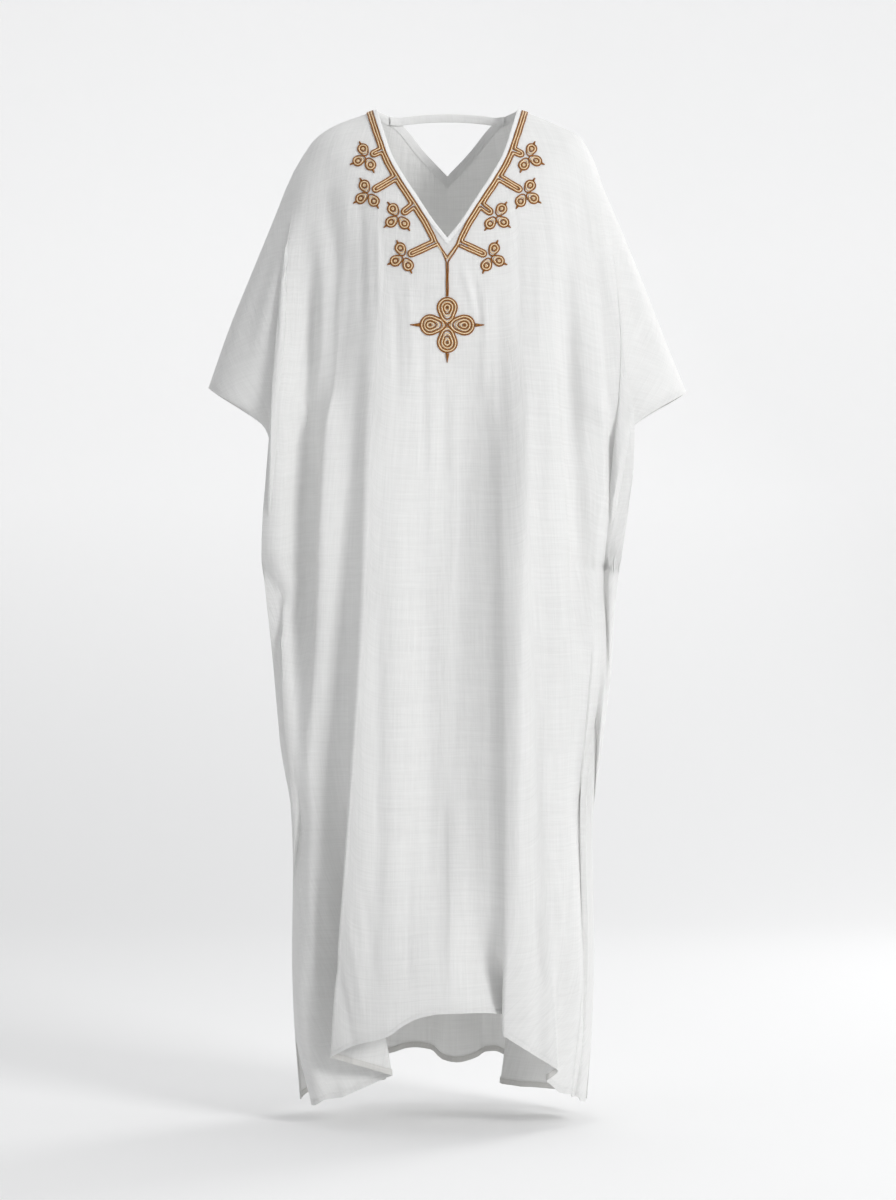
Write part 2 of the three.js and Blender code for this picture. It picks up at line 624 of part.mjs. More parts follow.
// ---------------------------------------------------------------- strap across the back neck
function strapGeometry() {
  const stations = [];
  const steps = 12;
  for (let i = 0; i <= steps; i += 1) {
    const x = mix(-STRAP_REACH, STRAP_REACH, i / steps);
    const bare = clamp(1 - (x / STRAP_BARE) ** 2);
    const z = STRAP_Z + STRAP_ARCH * bare;
    const seat = Math.sign(x || 1) * Math.max(Math.abs(x), STRAP_BARE);
    stations.push([1, -1].map((way) => {
      const drop = (way * STRAP_WIDE) / 2;
      const y = chestPoint("back", seat, STRAP_Z + drop).y - STRAP_INSET + STRAP_BOW * bare;
      return new THREE.Vector3(x, y, z + drop);
    }));
  }
  const layer = (inset) => stations.map((pair) => pair.map(({ x, y, z }) => new THREE.Vector3(x, y - inset, z)));
  return shellGeometry(layer(0), layer(STRAP_THICK));
}

// ---------------------------------------------------------------- the whole garment
const kaftan = new THREE.Group();
addNode("front_panel", panelGeometry("front"), LINEN);
addNode("back_panel", panelGeometry("back"), LINEN);
addNode("neck_binding_front", bindingGeometry("front"), LINEN);
addNode("neck_binding_back", bindingGeometry("back"), LINEN);
addNode("back_neck_strap", strapGeometry(), LINEN);

for (const side of ["left", "right"]) {
  const sign = side === "left" ? -1 : 1;
  addNode(`gold_band_${side}`, bandGeometry(side), GOLD);
  MOTIFS.forEach((motif, i) => {
    const toward = Math.atan2(motif.bar[1] - motif.centre[1], sign * (motif.bar[0] - motif.centre[0]));
    const centre = [sign * motif.centre[0], motif.centre[1]];
    const end = [centre[0] + BAR_CLEAR * Math.cos(toward), centre[1] + BAR_CLEAR * Math.sin(toward)];
    const lobes = [1, 2, 3].map((k) => ({ angle: toward + (k * Math.PI) / 2, tip: TREFOIL_TIP }));
    const start = [sign * motif.bar[0], motif.bar[1]];
    addNode(`gold_bar_${side}_${i + 1}`, barGeometry(start, end, BAR_WIDE, 3), GOLD);
    addNode(`gold_trefoil_${side}_${i + 1}`, motifGeometry(centre, lobes, TREFOIL_LOBE, TREFOIL_OUT, 32), GOLD);
  });
}
addNode("gold_stem", barGeometry([0, STEM_TOP_Z], [0, STEM_FOOT_Z], STEM_WIDE, 3), GOLD);
const pendantLobes = [0, 1, 2, 3].map((k) => ({
  angle: (k * Math.PI) / 2,
  tip: k === 1 ? PENDANT_LOBE + PENDANT_OUT : PENDANT_TIP,
}));
addNode("gold_quatrefoil", motifGeometry([0, PENDANT_Z], pendantLobes, PENDANT_LOBE, PENDANT_OUT, 64), GOLD);

export default kaftan;
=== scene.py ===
# A loose ankle-length kaftan of white linen with gold cord laid round its front neck, as it hangs on a wearer.
# It is put together here as it is sewn: the two cloths, their turned hems, the neck bindings and strap, the
# stitches, and then the cord work. Tables are in millimetres, and meshes are in metres in the frame's own axes.
import math

import bpy
import numpy as np
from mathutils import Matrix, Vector
from mathutils.bvhtree import BVHTree


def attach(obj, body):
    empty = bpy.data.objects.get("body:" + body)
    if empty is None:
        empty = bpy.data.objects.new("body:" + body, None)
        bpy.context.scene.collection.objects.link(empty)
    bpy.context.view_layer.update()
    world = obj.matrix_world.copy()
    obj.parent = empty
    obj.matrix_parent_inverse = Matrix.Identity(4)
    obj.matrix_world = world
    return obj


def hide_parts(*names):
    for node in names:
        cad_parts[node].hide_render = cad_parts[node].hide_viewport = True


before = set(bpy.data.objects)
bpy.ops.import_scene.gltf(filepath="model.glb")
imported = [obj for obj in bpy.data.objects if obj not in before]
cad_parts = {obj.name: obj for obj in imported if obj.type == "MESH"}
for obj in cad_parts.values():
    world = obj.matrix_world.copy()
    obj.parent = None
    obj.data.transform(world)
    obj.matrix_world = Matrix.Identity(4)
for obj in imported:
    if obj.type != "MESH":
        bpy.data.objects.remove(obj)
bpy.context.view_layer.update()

# ---------------------------------------------------------------- camera
# A long lens stands 4.5 m in front, level with the middle of the garment, and takes in 1.63 m of height.
CAMERA_AWAY = 4.5
CAMERA_LEVEL = -0.666
VIEW_HEIGHT = 1.632


def place_object(name, data):
    """A new object that holds data, put into the scene."""
    made = bpy.data.objects.new(name, data)
    bpy.context.scene.collection.objects.link(made)
    return made


lens = bpy.data.cameras.new("camera")
lens.sensor_width = 36
lens.lens = lens.sensor_width * CAMERA_AWAY / VIEW_HEIGHT
camera = place_object("camera", lens)
camera.location = (0.001, -CAMERA_AWAY, CAMERA_LEVEL)
camera.rotation_euler = (math.radians(90), 0, 0)
bpy.context.scene.camera = camera

# ---------------------------------------------------------------- front cloth
# One cut of washed white linen: the front of the body with both batwing sleeves. It hangs from the shoulders
# in a few deep standing folds that run down into flat pleats at the hem, with soft ripples between them.
MM = 0.001
WALL = 1.1             # thickness of the cloth with its nap
SEAM_GAP = 0.3         # between the two cloths where they are sewn
SHOULDER_RADIUS = 50   # of the turn over the shoulder and arm line
CUFF_DEPTH = 52        # half of what the cuff is open, down to CUFF_FULL_Z
CUFF_FULL_Z = -450
CUFF_TOP_X = 325
CUFF_FOOT_Z = -618
SLIT_TOP_Z = -1240
SLIT_OPEN = 14         # half of what the slit parts, reached over SLIT_EASE
SLIT_EASE = 110
SECTION_POWER = 2.3    # of the oval section: 2 would be an ellipse
NECK_HALF = 97
WING_SHARE = 0.95      # of the half-width, for the sleeve's outer fold at the most
FOLD_EASE = 95         # how far the cloth beside a fold takes to come forward again
NECK_CROWD = 1.8       # how much closer the columns stand next to a fold that starts at the neck
LEAST_STEP = 0.004     # of the half-width, between two folds
LEAST_COLUMN = 0.3     # between two columns
ARM_PIECES = 60        # straight pieces of the shoulder and arm line
FOLD_LIMIT = 0.985
WING_LIMIT = 0.99
SEAM_HOLD = 45         # depth at which the cloth is free of the seams' hold on its ripples
FOLD_HEIGHTS = (-300, -450, -620, -850, -1080)
FINE = 4        # columns of the fine cloth for each one of the plain cut
ROW_STEP = 9.5  # between rows, closer near the neck edge and the hem


def through(rows):
    """A smooth line through (at, value) rows that never swings past them, as a bent batten lies."""
    at, value = (np.array(k, float) for k in zip(*sorted(rows)))
    steps = np.diff(value) / np.diff(at)
    before, after = np.r_[steps[0], steps], np.r_[steps, steps[-1]]
    same = before * after > 0
    slope = np.where(same, 2 * before * after / np.where(same, before + after, 1), 0)

    def read(x):
        x = np.clip(x, at[0], at[-1])
        i = np.clip(np.searchsorted(at, x, "right") - 1, 0, len(steps) - 1)
        span = at[i + 1] - at[i]
        t = (x - at[i]) / span
        lean = t * (1 - t) ** 2 * slope[i] - t * t * (1 - t) * slope[i + 1]
        return value[i] + (value[i + 1] - value[i]) * t * t * (3 - 2 * t) + lean * span

    return read


def mix(a, b, t):
    return a + (b - a) * t


def ease(t):
    t = np.clip(t, 0, 1)
    return t * t * (3 - 2 * t)


# Neck edges of one side as x, z. The back one steps in where its strap meets it.
NECK = {
    "front": through([(0, -187), (19, -163), (39, -132), (60, -99), (75, -71), (87, -35), (NECK_HALF, 0)]),
    "back": through([(0, -80), (30, -50), (67, -10), (80, -4), (NECK_HALF, 0)]),
}
# Shoulder and arm line from the neck point to the cuff: x, then z on each side.
SHOULDER = [dict(x=x, left=left, right=right) for x, left, right in (
    (NECK_HALF, 0, 0), (115, -7, -6), (150, -20, -21), (178, -38, -35), (196, -62, -62), (213, -92, -108),
    (232, -139, -152), (266, -222, -235), (296, -296, -312), (CUFF_TOP_X, -378, -384),
)]
# Half-widths by height: wing is the sleeve's outer fold, edge is the cuff edge and then the side seam.
WING = {
    "left": [(-222, 220), (-300, 227), (-384, 233), (-440, 238), (-500, 243), (-560, 248), (-618, 250),
             (-661, 225), (-740, 227), (-853, 219), (-986, 201), (-1146, 203), (SLIT_TOP_Z, 200)],
    "right": [(-222, 226), (-300, 233), (-384, 244), (-440, 251), (-500, 249), (-560, 227), (-618, 217),
              (-661, 215), (-740, 215), (-853, 203), (-986, 189), (-1146, 192), (SLIT_TOP_Z, 189)],
}
EDGE = {
    "left": [(-384, 318), (-440, 243), (-500, 230), (-560, 233), (-618, 241), (-661, 233), (-740, 235),
             (-853, 228), (-986, 209), (-1146, 211), (SLIT_TOP_Z, 208)],
    "right": [(-384, CUFF_TOP_X), (-440, 246), (-500, 236), (-560, 216), (-618, 214), (-661, 225), (-740, 224),
              (-853, 212), (-986, 197), (-1146, 200), (SLIT_TOP_Z, 197)],
}
WING_TOP = {"left": 196, "right": 218}
# How far the cloth stands out from the plane of the shoulder line, by height.
DEPTH = {
    "front": through([(0, 94), (-150, 108), (-300, 114), (-620, 112), (-850, 118), (-1350, 138)]),
    "back": through([(0, 92), (-150, 102), (-300, 106), (-620, 112), (-850, 122), (-1350, 150)]),
}


def standing(x, turn, run, arc, hem, gap, bends, under="side", at_neck=False):
    """A standing fold. x, turn in degrees and run are given at the top edge, at FOLD_HEIGHTS and at the hem: the
    cloth turns through turn, runs back for run and turns out again. under is the side whose cloth lies
    beneath."""
    return dict(x=x, turn=turn, run=run, arc=arc, hem=hem, gap=gap, bends=bends, under=under,
                at_neck=at_neck)


FOLDS = {
    ("front", "left"): [
        standing(x=(112, 108, 115, 120, 131, 143, 156), turn=(0, 12, 38, 50, 78, 130, 170),
                 run=(6, 6, 8, 12, 22, 44, 74), arc=15, hem=(-1272, -1305), gap=10, bends=8, at_neck=True),
        standing(x=(150, 155, 168, 180, 189, 193, 150), turn=(0, 14, 34, 38, 30, 10, 0),
                 run=(6, 6, 8, 8, 6, 6, 6), arc=9, hem=(-1332, -1336), gap=2, bends=3),
    ],
    ("front", "right"): [
        standing(x=(50, 52, 60, 66, 70, 73, 72), turn=(0, 0, 5, 12, 22, 42, 164),
                 run=(6, 6, 6, 6, 8, 10, 30), arc=11, under="centre", hem=(-1224, -1244), gap=4, bends=7),
        standing(x=(107, 109, 114, 121, 130, 142, 148), turn=(0, 0, 5, 10, 18, 26, 165),
                 run=(6, 6, 6, 6, 6, 6, 9), arc=10, hem=(-1289, -1312), gap=5, bends=5, at_neck=True),
        standing(x=(140, 149, 161, 180, 188, 184, 165), turn=(0, 16, 38, 38, 18, 6, 0),
                 run=(6, 6, 8, 8, 6, 6, 6), arc=9, hem=(-1324, -1329), gap=2, bends=3),
        standing(x=(190, 202, 210, 212, 197, 184, 173), turn=(0, 24, 44, 38, 8, 0, 0),
                 run=(4, 4, 8, 6, 4, 3, 3), arc=5, hem=(-1333, -1336), gap=2, bends=3),
    ],
    ("back", "left"): [
        standing(x=(112, 104, 100, 102, 110, 122, 140), turn=(0, 8, 16, 32, 62, 118, 166),
                 run=(6, 6, 6, 8, 14, 28, 46), arc=15, hem=(-1322, -1332), gap=10, bends=7, at_neck=True),
        standing(x=(150, 160, 172, 184, 190, 188, 162), turn=(0, 14, 32, 36, 24, 8, 0),
                 run=(6, 6, 6, 8, 6, 6, 6), arc=9, hem=(-1342, -1343), gap=3, bends=3),
    ],
    ("back", "right"): [
        standing(x=(112, 108, 106, 112, 124, 136, 148), turn=(0, 8, 16, 34, 64, 124, 168),
                 run=(6, 6, 6, 8, 16, 40, 70), arc=15, hem=(-1318, -1336), gap=10, bends=7, at_neck=True),
        standing(x=(150, 158, 170, 183, 187, 183, 160), turn=(0, 14, 32, 36, 22, 6, 0),
                 run=(6, 6, 6, 8, 6, 6, 6), arc=9, hem=(-1342, -1343), gap=3, bends=3),
    ],
}
WING_GAP, EDGE_GAP = 3, 5
# Hem heights at the sleeve fold's foot and at the corner, with their half-widths.
HEM = {
    ("front", "left"): dict(wing=-1344, wing_x=177, corner=-1348, corner_x=184),
    ("front", "right"): dict(wing=-1341, wing_x=179, corner=-1345, corner_x=187),
    ("back", "left"): dict(wing=-1345, wing_x=193, corner=-1347, corner_x=201),
    ("back", "right"): dict(wing=-1344, wing_x=183, corner=-1346, corner_x=191),
}
# The hem's own line between the two inner folds, from left to right, as x and z.
HEM_LINE = {
    "front": through([(-151, -1272), (-124, -1257), (-78, -1243), (-57, -1228), (-39, -1219), (-9, -1213),
                      (40, -1212), (70, -1215), (112, -1224)]),
    "back": through([(-135, -1322), (-78, -1300), (-43, -1294), (-20, -1299), (-6, -1309), (16, -1312),
                     (40, -1308), (53, -1301), (66, -1299), (82, -1304), (143, -1318)]),
}


def ripple(start_x, start_z, end_x, end_z, wide, high, by=()):
    """A ripple of the hanging cloth: its ends, half-width and height, and the points that it bends by. A
    negative height is a trough. A pair of half-widths is that toward -X and that toward +X."""
    return dict(start=(start_x, start_z), end=(end_x, end_z), wide=wide, high=high, by=list(by))


# The ripples are as uneven as hung linen's are, and most fade out at both ends.
RIPPLES = {
    "front": [
        # under the cord work, where the stiffer motifs pull the linen
        ripple(-112, -110, -116, -330, 7, -2.2), ripple(-92, -150, -92, -300, 5, 1.4),
        ripple(-72, -232, -66, -430, 6, -2.0), ripple(-50, -225, -44, -390, 5, 1.5),
        ripple(-32, -240, -28, -520, 6, -1.9), ripple(-18, -352, -20, -640, 7, 1.6),
        ripple(-4, -362, -6, -520, 5, -1.8), ripple(12, -350, 14, -720, 7, 1.4),
        ripple(20, -215, 38, -290, 5, 2.0), ripple(30, -222, 50, -318, 5, -1.6),
        ripple(48, -232, 50, -420, 6, 1.6), ripple(66, -236, 72, -470, 7, -1.8),
        ripple(92, -150, 96, -330, 7, -1.6), ripple(118, -130, 128, -380, 8, 1.6),
        # the long soft valleys of the body
        ripple(36, -240, -6, -1238, (84, 64), -46.0, by=[(12, -560), (4, -800)]),
        ripple(104, -250, 86, -1200, (44, 15), 9.0, by=[(96, -560), (90, -800)]),
        ripple(-2, -520, 0, -1190, 16, 2.4), ripple(-30, -520, -26, -1160, 15, -3.2),
        ripple(-66, -430, -78, -1200, 17, 3.4), ripple(-92, -600, -104, -1230, 11, -3.0),
        ripple(94, -560, 104, -1240, 15, 3.2), ripple(118, -700, 126, -1260, 10, -3.4),
        ripple(34, -840, 40, -1200, 10, -2.6), ripple(-8, -900, -4, -1205, 11, -2.2),
        ripple(-50, -960, -52, -1220, 9, -2.0),
        # the pulled creases above the corners of the hem
        ripple(-150, -1120, -128, -1250, 6, -2.0), ripple(-136, -1060, -112, -1230, 6, 1.6),
        ripple(-118, -1010, -96, -1190, 6, -1.6), ripple(-176, -1000, -160, -1150, 6, -2.0),
        ripple(-188, -960, -172, -1240, 7, 1.8), ripple(112, -1060, 134, -1200, 6, -2.0),
        ripple(140, -980, 158, -1170, 6, 1.8), ripple(160, -1040, 150, -1240, 6, -2.0),
        # the deep valleys between the sleeves and the body, steep toward the body
        ripple(-187, -90, -204, -880, (26, 16), -28.0, by=[(-187, -250), (-189, -400), (-194, -600)]),
        ripple(-122, -280, -150, -860, (24, 14), -4.0, by=[(-136, -520), (-144, -700)]),
        ripple(-158, -110, -160, -460, (18, 32), -16.0, by=[(-152, -240)]),
        ripple(-158, -400, -180, -860, (13, 16), 3.0),
        ripple(150, -160, 188, -820, (18, 13), -13.0, by=[(164, -350), (169, -500), (178, -620)]),
        # sleeves: long drags from the shoulder to the cuff and a few across the underarm
        ripple(-176, -64, -262, -372, 14, 3.2), ripple(-200, -100, -292, -372, 11, -3.0),
        ripple(-150, -60, -206, -430, 13, -3.4), ripple(-224, -300, -238, -560, 8, 2.2),
        ripple(-134, -70, -152, -360, 11, 2.6), ripple(-180, -330, -206, -600, 9, -2.6),
        ripple(-172, -420, -188, -800, 9, 2.4), ripple(-140, -470, -150, -980, 9, -2.8),
        ripple(-214, -620, -196, -900, 8, -2.6), ripple(-228, -560, -222, -780, 6, 2.0),
        ripple(168, -70, 214, -330, 13, -2.6), ripple(196, -96, 246, -410, 11, 2.8),
        ripple(212, -140, 284, -380, 11, -3.0), ripple(236, -200, 300, -376, 9, 2.0),
        ripple(140, -80, 158, -360, 11, 2.4), ripple(226, -400, 222, -570, 7, -2.2),
        ripple(168, -460, 184, -760, 9, -2.6), ripple(196, -600, 196, -900, 8, 2.4),
        ripple(206, -700, 188, -980, 7, -2.4), ripple(176, -900, 180, -1260, 8, 2.0),
    ],
    "back": [
        ripple(-24, -900, -23, -1318, 8, 8.0), ripple(12, -940, 13, -1318, 24, -18.0),
        ripple(50, -900, 50, -1318, 9, 8.0), ripple(-62, -980, -60, -1318, 14, 4.0),
        ripple(0, -110, 4, -520, 13, -2.6), ripple(-34, -80, -46, -460, 11, 2.2),
        ripple(40, -84, 52, -500, 12, 2.4), ripple(-70, -60, -92, -520, 13, -3.0),
        ripple(78, -64, 96, -560, 13, -3.2), ripple(-24, -420, -30, -980, 15, 3.0),
        ripple(26, -460, 30, -900, 14, -3.0), ripple(60, -560, 70, -1260, 13, 3.2),
        ripple(-62, -600, -78, -1270, 12, -3.4), ripple(-120, -70, -150, -430, 13, 2.8),
        ripple(124, -72, 156, -420, 13, 2.6), ripple(-160, -80, -232, -380, 13, -3.2),
        ripple(164, -84, 238, -390, 13, -3.2), ripple(-196, -110, -284, -380, 10, 2.8),
        ripple(202, -120, 290, -386, 10, 2.6), ripple(-170, -420, -190, -840, 10, 2.6),
        ripple(166, -450, 186, -860, 10, 2.4), ripple(-210, -600, -200, -900, 8, -2.6),
        ripple(206, -620, 192, -900, 8, -2.4), ripple(-180, -960, -172, -1280, 8, 2.2),
        ripple(172, -980, 168, -1290, 8, 2.2), ripple(-110, -1020, -100, -1290, 8, -2.6),
        ripple(112, -1000, 104, -1280, 8, -2.6), ripple(-134, -640, -142, -1100, 9, 2.4),
    ],
}


def shoulder_line(side):
    return through([(row["x"], row[side]) for row in SHOULDER])


def line_x(side):
    return through([(row[side], row["x"]) for row in SHOULDER])


def edge_depth(z):
    """Depth at the outer edge: the open cuff, nothing along the side seam, and the parted slit."""
    closing = np.clip((CUFF_FULL_Z - z) / (CUFF_FULL_Z - CUFF_FOOT_Z), 0, 1)
    slit = SLIT_OPEN * ease((SLIT_TOP_Z - z) / SLIT_EASE)
    return np.where(z > CUFF_FOOT_Z, CUFF_DEPTH * np.sqrt(1 - closing**2), slit)


def form_depth(side, face, x, across, z):
    """Depth of the smooth form: an oval section that turns over the shoulder and arm line evenly."""
    rim = edge_depth(z)
    oval = (1 - np.clip(across, 0, 1) ** SECTION_POWER) ** (1 / SECTION_POWER)
    full = np.maximum(rim + (DEPTH[face](z) - rim) * oval, 0.01)
    arm_x = np.linspace(NECK_HALF, CUFF_TOP_X, ARM_PIECES + 1)
    arm_z = shoulder_line(side)(arm_x)
    nearest = np.full(np.shape(x), np.inf)
    for ax, az, bx, bz in zip(arm_x, arm_z, arm_x[1:], arm_z[1:]):
        gone = (x - ax) * (bx - ax) + (z - az) * (bz - az)
        along = np.clip(gone / ((bx - ax) ** 2 + (bz - az) ** 2), 0, 1)
        nearest = np.minimum(nearest, np.hypot(x - mix(ax, bx, along), z - mix(az, bz, along)))
    part = np.clip(nearest * SHOULDER_RADIUS / full**2, 0, 1)
    return full * np.sqrt(1 - (1 - part) ** 2)


def fold_path(part, turn, run, arc):
    """A fold seen from above: how far along and how far inward it has come, at a part of its own length."""
    angle = np.maximum(np.radians(turn), 0.001)
    radius = arc / angle
    at = part * (2 * arc + run)
    first, middle, last = np.minimum(at, arc), np.clip(at - arc, 0, run), np.maximum(at - arc - run, 0)
    along = radius * np.sin(first / radius) + middle * np.cos(angle)
    along = along + radius * (np.sin(angle) - np.sin(angle - last / radius))
    inward = radius * (1 - np.cos(first / radius)) + middle * np.sin(angle)
    return along, inward + radius * (np.cos(angle - last / radius) - np.cos(angle))


def half_cloth(face, side, v):
    """Points of one half in mm, a row for each part v of the way down, from the centre to the side edge."""
    hem, neck, arm = HEM[face, side], NECK[face], shoulder_line(side)
    cuff_top = SHOULDER[-1][side]
    wing_top = float(arm(WING_TOP[side]))
    wing_at = through([(wing_top, WING_TOP[side]), *WING[side], (hem["wing"], hem["wing_x"])])
    edge_at = through([(cuff_top, CUFF_TOP_X), *[r for r in EDGE[side] if r[0] < cuff_top - 10],
                       (hem["corner"], hem["corner_x"])])
    outline = line_x(side)

    def width(z):
        return np.where(z >= cuff_top, outline(z), np.maximum(edge_at(z), wing_at(z) / WING_SHARE))

    def top_edge(x):
        return np.where(x < NECK_HALF - 1e-6, neck(x), arm(x))

    v = v[:, None]
    zero = np.zeros_like(v)
    way = -1 if side == "left" else 1
    xs, acrosses, hems, pushes, sunk = [zero], [zero], [float(HEM_LINE[face](0.0))], [zero], []
    last_x, last_across, last_hem, soft_from = zero, zero, 0.0, 0
    for fold in FOLDS[face, side]:
        top_z = float(top_edge(np.float64(fold["x"][0])))
        hem_z = sum(fold["hem"]) / 2
        z = mix(top_z, hem_z, v)
        heights = (top_z, *FOLD_HEIGHTS, hem_z)
        x, turn, run = (through(list(zip(heights, fold[k])))(z) for k in ("x", "turn", "run"))
        arc, bends, gap = fold["arc"], fold["bends"] * FINE, fold["gap"] * FINE
        angle = np.maximum(np.radians(turn), 0.001)
        crest = arc / angle * np.sin(np.minimum(angle, math.pi / 2))
        part = np.arange(bends + 1) / bends
        if fold["under"] == "side":
            along, inward = fold_path(part, turn, run, arc)
            fold_x = x - crest + along
        else:
            along, inward = fold_path(1 - part, turn, run, arc)
            fold_x = x + crest - along
        w = width(z)
        start = np.maximum(fold_x[:, :1] / w, last_across + LEAST_STEP)
        grow = np.maximum((fold_x[:, -1:] - fold_x[:, :1]) / w, LEAST_STEP)
        t = np.arange(1, gap) / gap
        t = 1 - (1 - t) ** NECK_CROWD if fold["at_neck"] else t
        xs += [mix(last_x, fold_x[:, :1], t), fold_x]
        acrosses += [mix(last_across, start, t), np.minimum(start + grow * part, FOLD_LIMIT)]
        line = mix(last_hem, fold["hem"][0], t)
        if len(hems) == 1:
            line = HEM_LINE[face](way * fold_x[-1, 0] * t)
        hems += [*line, *mix(fold["hem"][0], fold["hem"][1], part)]
        pushes += [np.zeros((len(v), gap - 1)), inward]
        last_x, last_across, last_hem = fold_x[:, -1:], acrosses[-1][:, -1:], fold["hem"][1]
        sunk.append((start, last_across, fold_path(1, turn, run, arc)[1], FOLD_EASE / w, fold["under"]))
        if fold["at_neck"]:
            soft_from = len(hems) - 1
    wing_z = mix(wing_top, hem["wing"], v)
    wing_x = wing_at(wing_z)
    wing_across = np.minimum(np.maximum(wing_x / width(wing_z), last_across + LEAST_STEP), WING_LIMIT)
    t = np.arange(1, WING_GAP * FINE + 1) / (WING_GAP * FINE)
    xs.append(mix(last_x, wing_x, t))
    acrosses.append(mix(last_across, wing_across, t))
    hems += [*mix(last_hem, hem["wing"], t)]
    # the outer folds only lean: where they meet near the hem, each is squeezed to the room that is left
    soft = np.hstack(xs)[:, soft_from:]
    steps = np.maximum(np.diff(soft, axis=1), LEAST_COLUMN)
    room = soft[:, -1:] - soft[:, :1]
    soft[:, 1:] = soft[:, :1] + np.cumsum(steps, axis=1) * room / steps.sum(axis=1, keepdims=True)
    xs = [np.hstack([np.hstack(xs)[:, :soft_from], soft])]
    t = 1 - (1 - np.arange(1, EDGE_GAP * FINE + 1) / (EDGE_GAP * FINE)) ** 2
    xs.append(mix(wing_x, edge_at(mix(cuff_top, hem["corner"], v)), t))
    acrosses.append(mix(wing_across, 1, t))
    hems += [*mix(hem["wing"], hem["corner"], t)]
    pushes.append(np.zeros((len(v), (WING_GAP + EDGE_GAP) * FINE)))
    x, across, push, hem_z = np.hstack(xs), np.hstack(acrosses), np.hstack(pushes), np.array(hems, float)
    for start, end, depth, reach, under in sunk:
        beyond = across - end if under == "side" else start - across
        room = np.minimum(reach, 1 - end if under == "side" else start)
        push = push + np.where(beyond > 1e-9, depth * (1 - ease(beyond / room)), 0)
    z = mix(top_edge(x[0]), hem_z, v)
    y = np.maximum(form_depth(side, face, x, across, z) - push, SEAM_GAP / 2)
    return np.stack([way * x, -y if face == "front" else y, z], 2)


def lengths(points, axis):
    """Length walked over the cloth from its first row or column."""
    gaps = np.linalg.norm(np.diff(points, axis=axis), axis=2)
    return np.cumsum(np.insert(gaps, 0, 0, axis=axis), axis=axis)


def outward(points, face):
    """Unit normals of a grid of rows and columns that face away from the wearer."""
    down, across = np.gradient(points, axis=0), np.gradient(points, axis=1)
    normal = np.cross(down, across)
    normal /= np.maximum(np.linalg.norm(normal, axis=2, keepdims=True), 1e-9)
    return normal * (1 if face == "front" else -1)


FADE = 0.3         # part of a ripple's length over which it fades
RUN_OUT_Z = -1240  # a ripple that ends lower than this runs out over the hem
SWAY = 0.35        # how far a ripple wanders to each side, of its half-width up to SWAY_WIDEST
SWAY_WIDEST = 12
SWAY_TURN = 3.1


def ripple_height(face, x, z):
    """How far the ripples lift the cloth at x, z."""
    lift = np.zeros_like(x)
    for row in RIPPLES[face]:
        start, end = row["start"], row["end"]
        line = through([(at_z, at_x) for at_x, at_z in (start, *row["by"], end)])
        slope = (end[0] - start[0]) / (end[1] - start[1])
        along = (z - start[1]) / (end[1] - start[1])
        narrow, broad = row["wide"] if isinstance(row["wide"], tuple) else (row["wide"], row["wide"])
        sway = SWAY * min(narrow, SWAY_WIDEST) * np.sin(SWAY_TURN * along + start[0])
        aside = (x - line(z)) / math.hypot(1, slope) + sway
        fade = ease(along / FADE) * (1 if end[1] < RUN_OUT_Z else ease((1 - along) / FADE))
        lift += row["high"] * fade * np.exp(-((aside / np.where(aside < 0, narrow, broad)) ** 2))
    return lift


HEM_TURN = 8       # depth of the turned hem
STITCH_IN = 1.2    # from the inner edge of the turned hem to its stitches
STITCH_DIP = 0.5   # how far the stitches pull the cloth in
CLOTH_LENGTH = 1330
# Where the closer rows lie, in from the neck edge and from the hem.
NEAR_NECK = (0, 1.5, 3.5, 6, 9, 13, 18, 24, 31)
NEAR_HEM = (0, 1.8, 3.8, 5.6, 6.8, 7.6, 8.8, 10.5, 13.5, 18, 24, 31)


LEAST_SQUARE = 0.35  # least share of a row's length that counts where the row runs along its edge
CUFF_HEM_CLEAR = (2, 6)  # from the turned cuff to the arm line and to the cuff's foot


def from_edge(points, side):
    """Distance over the cloth from its left or right edge, square to that edge."""
    grid = points if side == "left" else points[:, ::-1]
    row_way = grid[:, 3] - grid[:, 0]
    edge_way = np.gradient(grid[:, 0], axis=0)
    square = np.linalg.norm(np.cross(row_way, edge_way), axis=1)
    square /= np.maximum(np.linalg.norm(row_way, axis=1) * np.linalg.norm(edge_way, axis=1), 1e-9)
    away = lengths(grid, 1) * np.clip(square, LEAST_SQUARE, 1)[:, None]
    return away if side == "left" else away[:, ::-1]


def turned_rows(points, side):
    """Rows whose side edge is turned and stitched: those of the cuff and of the slit."""
    z = points[:, 0 if side == "left" else -1, 2]
    top, foot = CUFF_HEM_CLEAR
    return (z > CUFF_FOOT_Z + foot) & (z < SHOULDER[-1][side] - top) | (z < SLIT_TOP_Z)


def cloth_grid(face):
    """The whole cloth as rows and columns of points in mm, from the left edge to the right one."""
    body = np.arange(NEAR_NECK[-1], CLOTH_LENGTH - NEAR_HEM[-1], ROW_STEP)[1:]
    v = np.r_[NEAR_NECK, body, CLOTH_LENGTH - np.array(NEAR_HEM[::-1])] / CLOTH_LENGTH
    left, right = half_cloth(face, "left", v), half_cloth(face, "right", v)
    points = np.concatenate([left[:, ::-1], right[:, 1:]], 1)
    lift = ripple_height(face, points[:, :, 0], points[:, :, 2])
    down = lengths(points, 0)
    stitch = HEM_TURN - STITCH_IN
    lift = lift - STITCH_DIP * np.exp(-((down[-1] - down - stitch) ** 2) / 2)
    for side in ("left", "right"):
        away = np.where(turned_rows(points, side)[:, None], from_edge(points, side), np.inf)
        lift = lift - STITCH_DIP * np.exp(-((away - stitch) ** 2) / 2)
    held = ease(np.abs(points[:, :, 1]) / SEAM_HOLD)
    return points + outward(points, face) * (lift * held)[:, :, None]


CLOTH_SHARP = 50   # degrees between two faces from which their edge is sharp


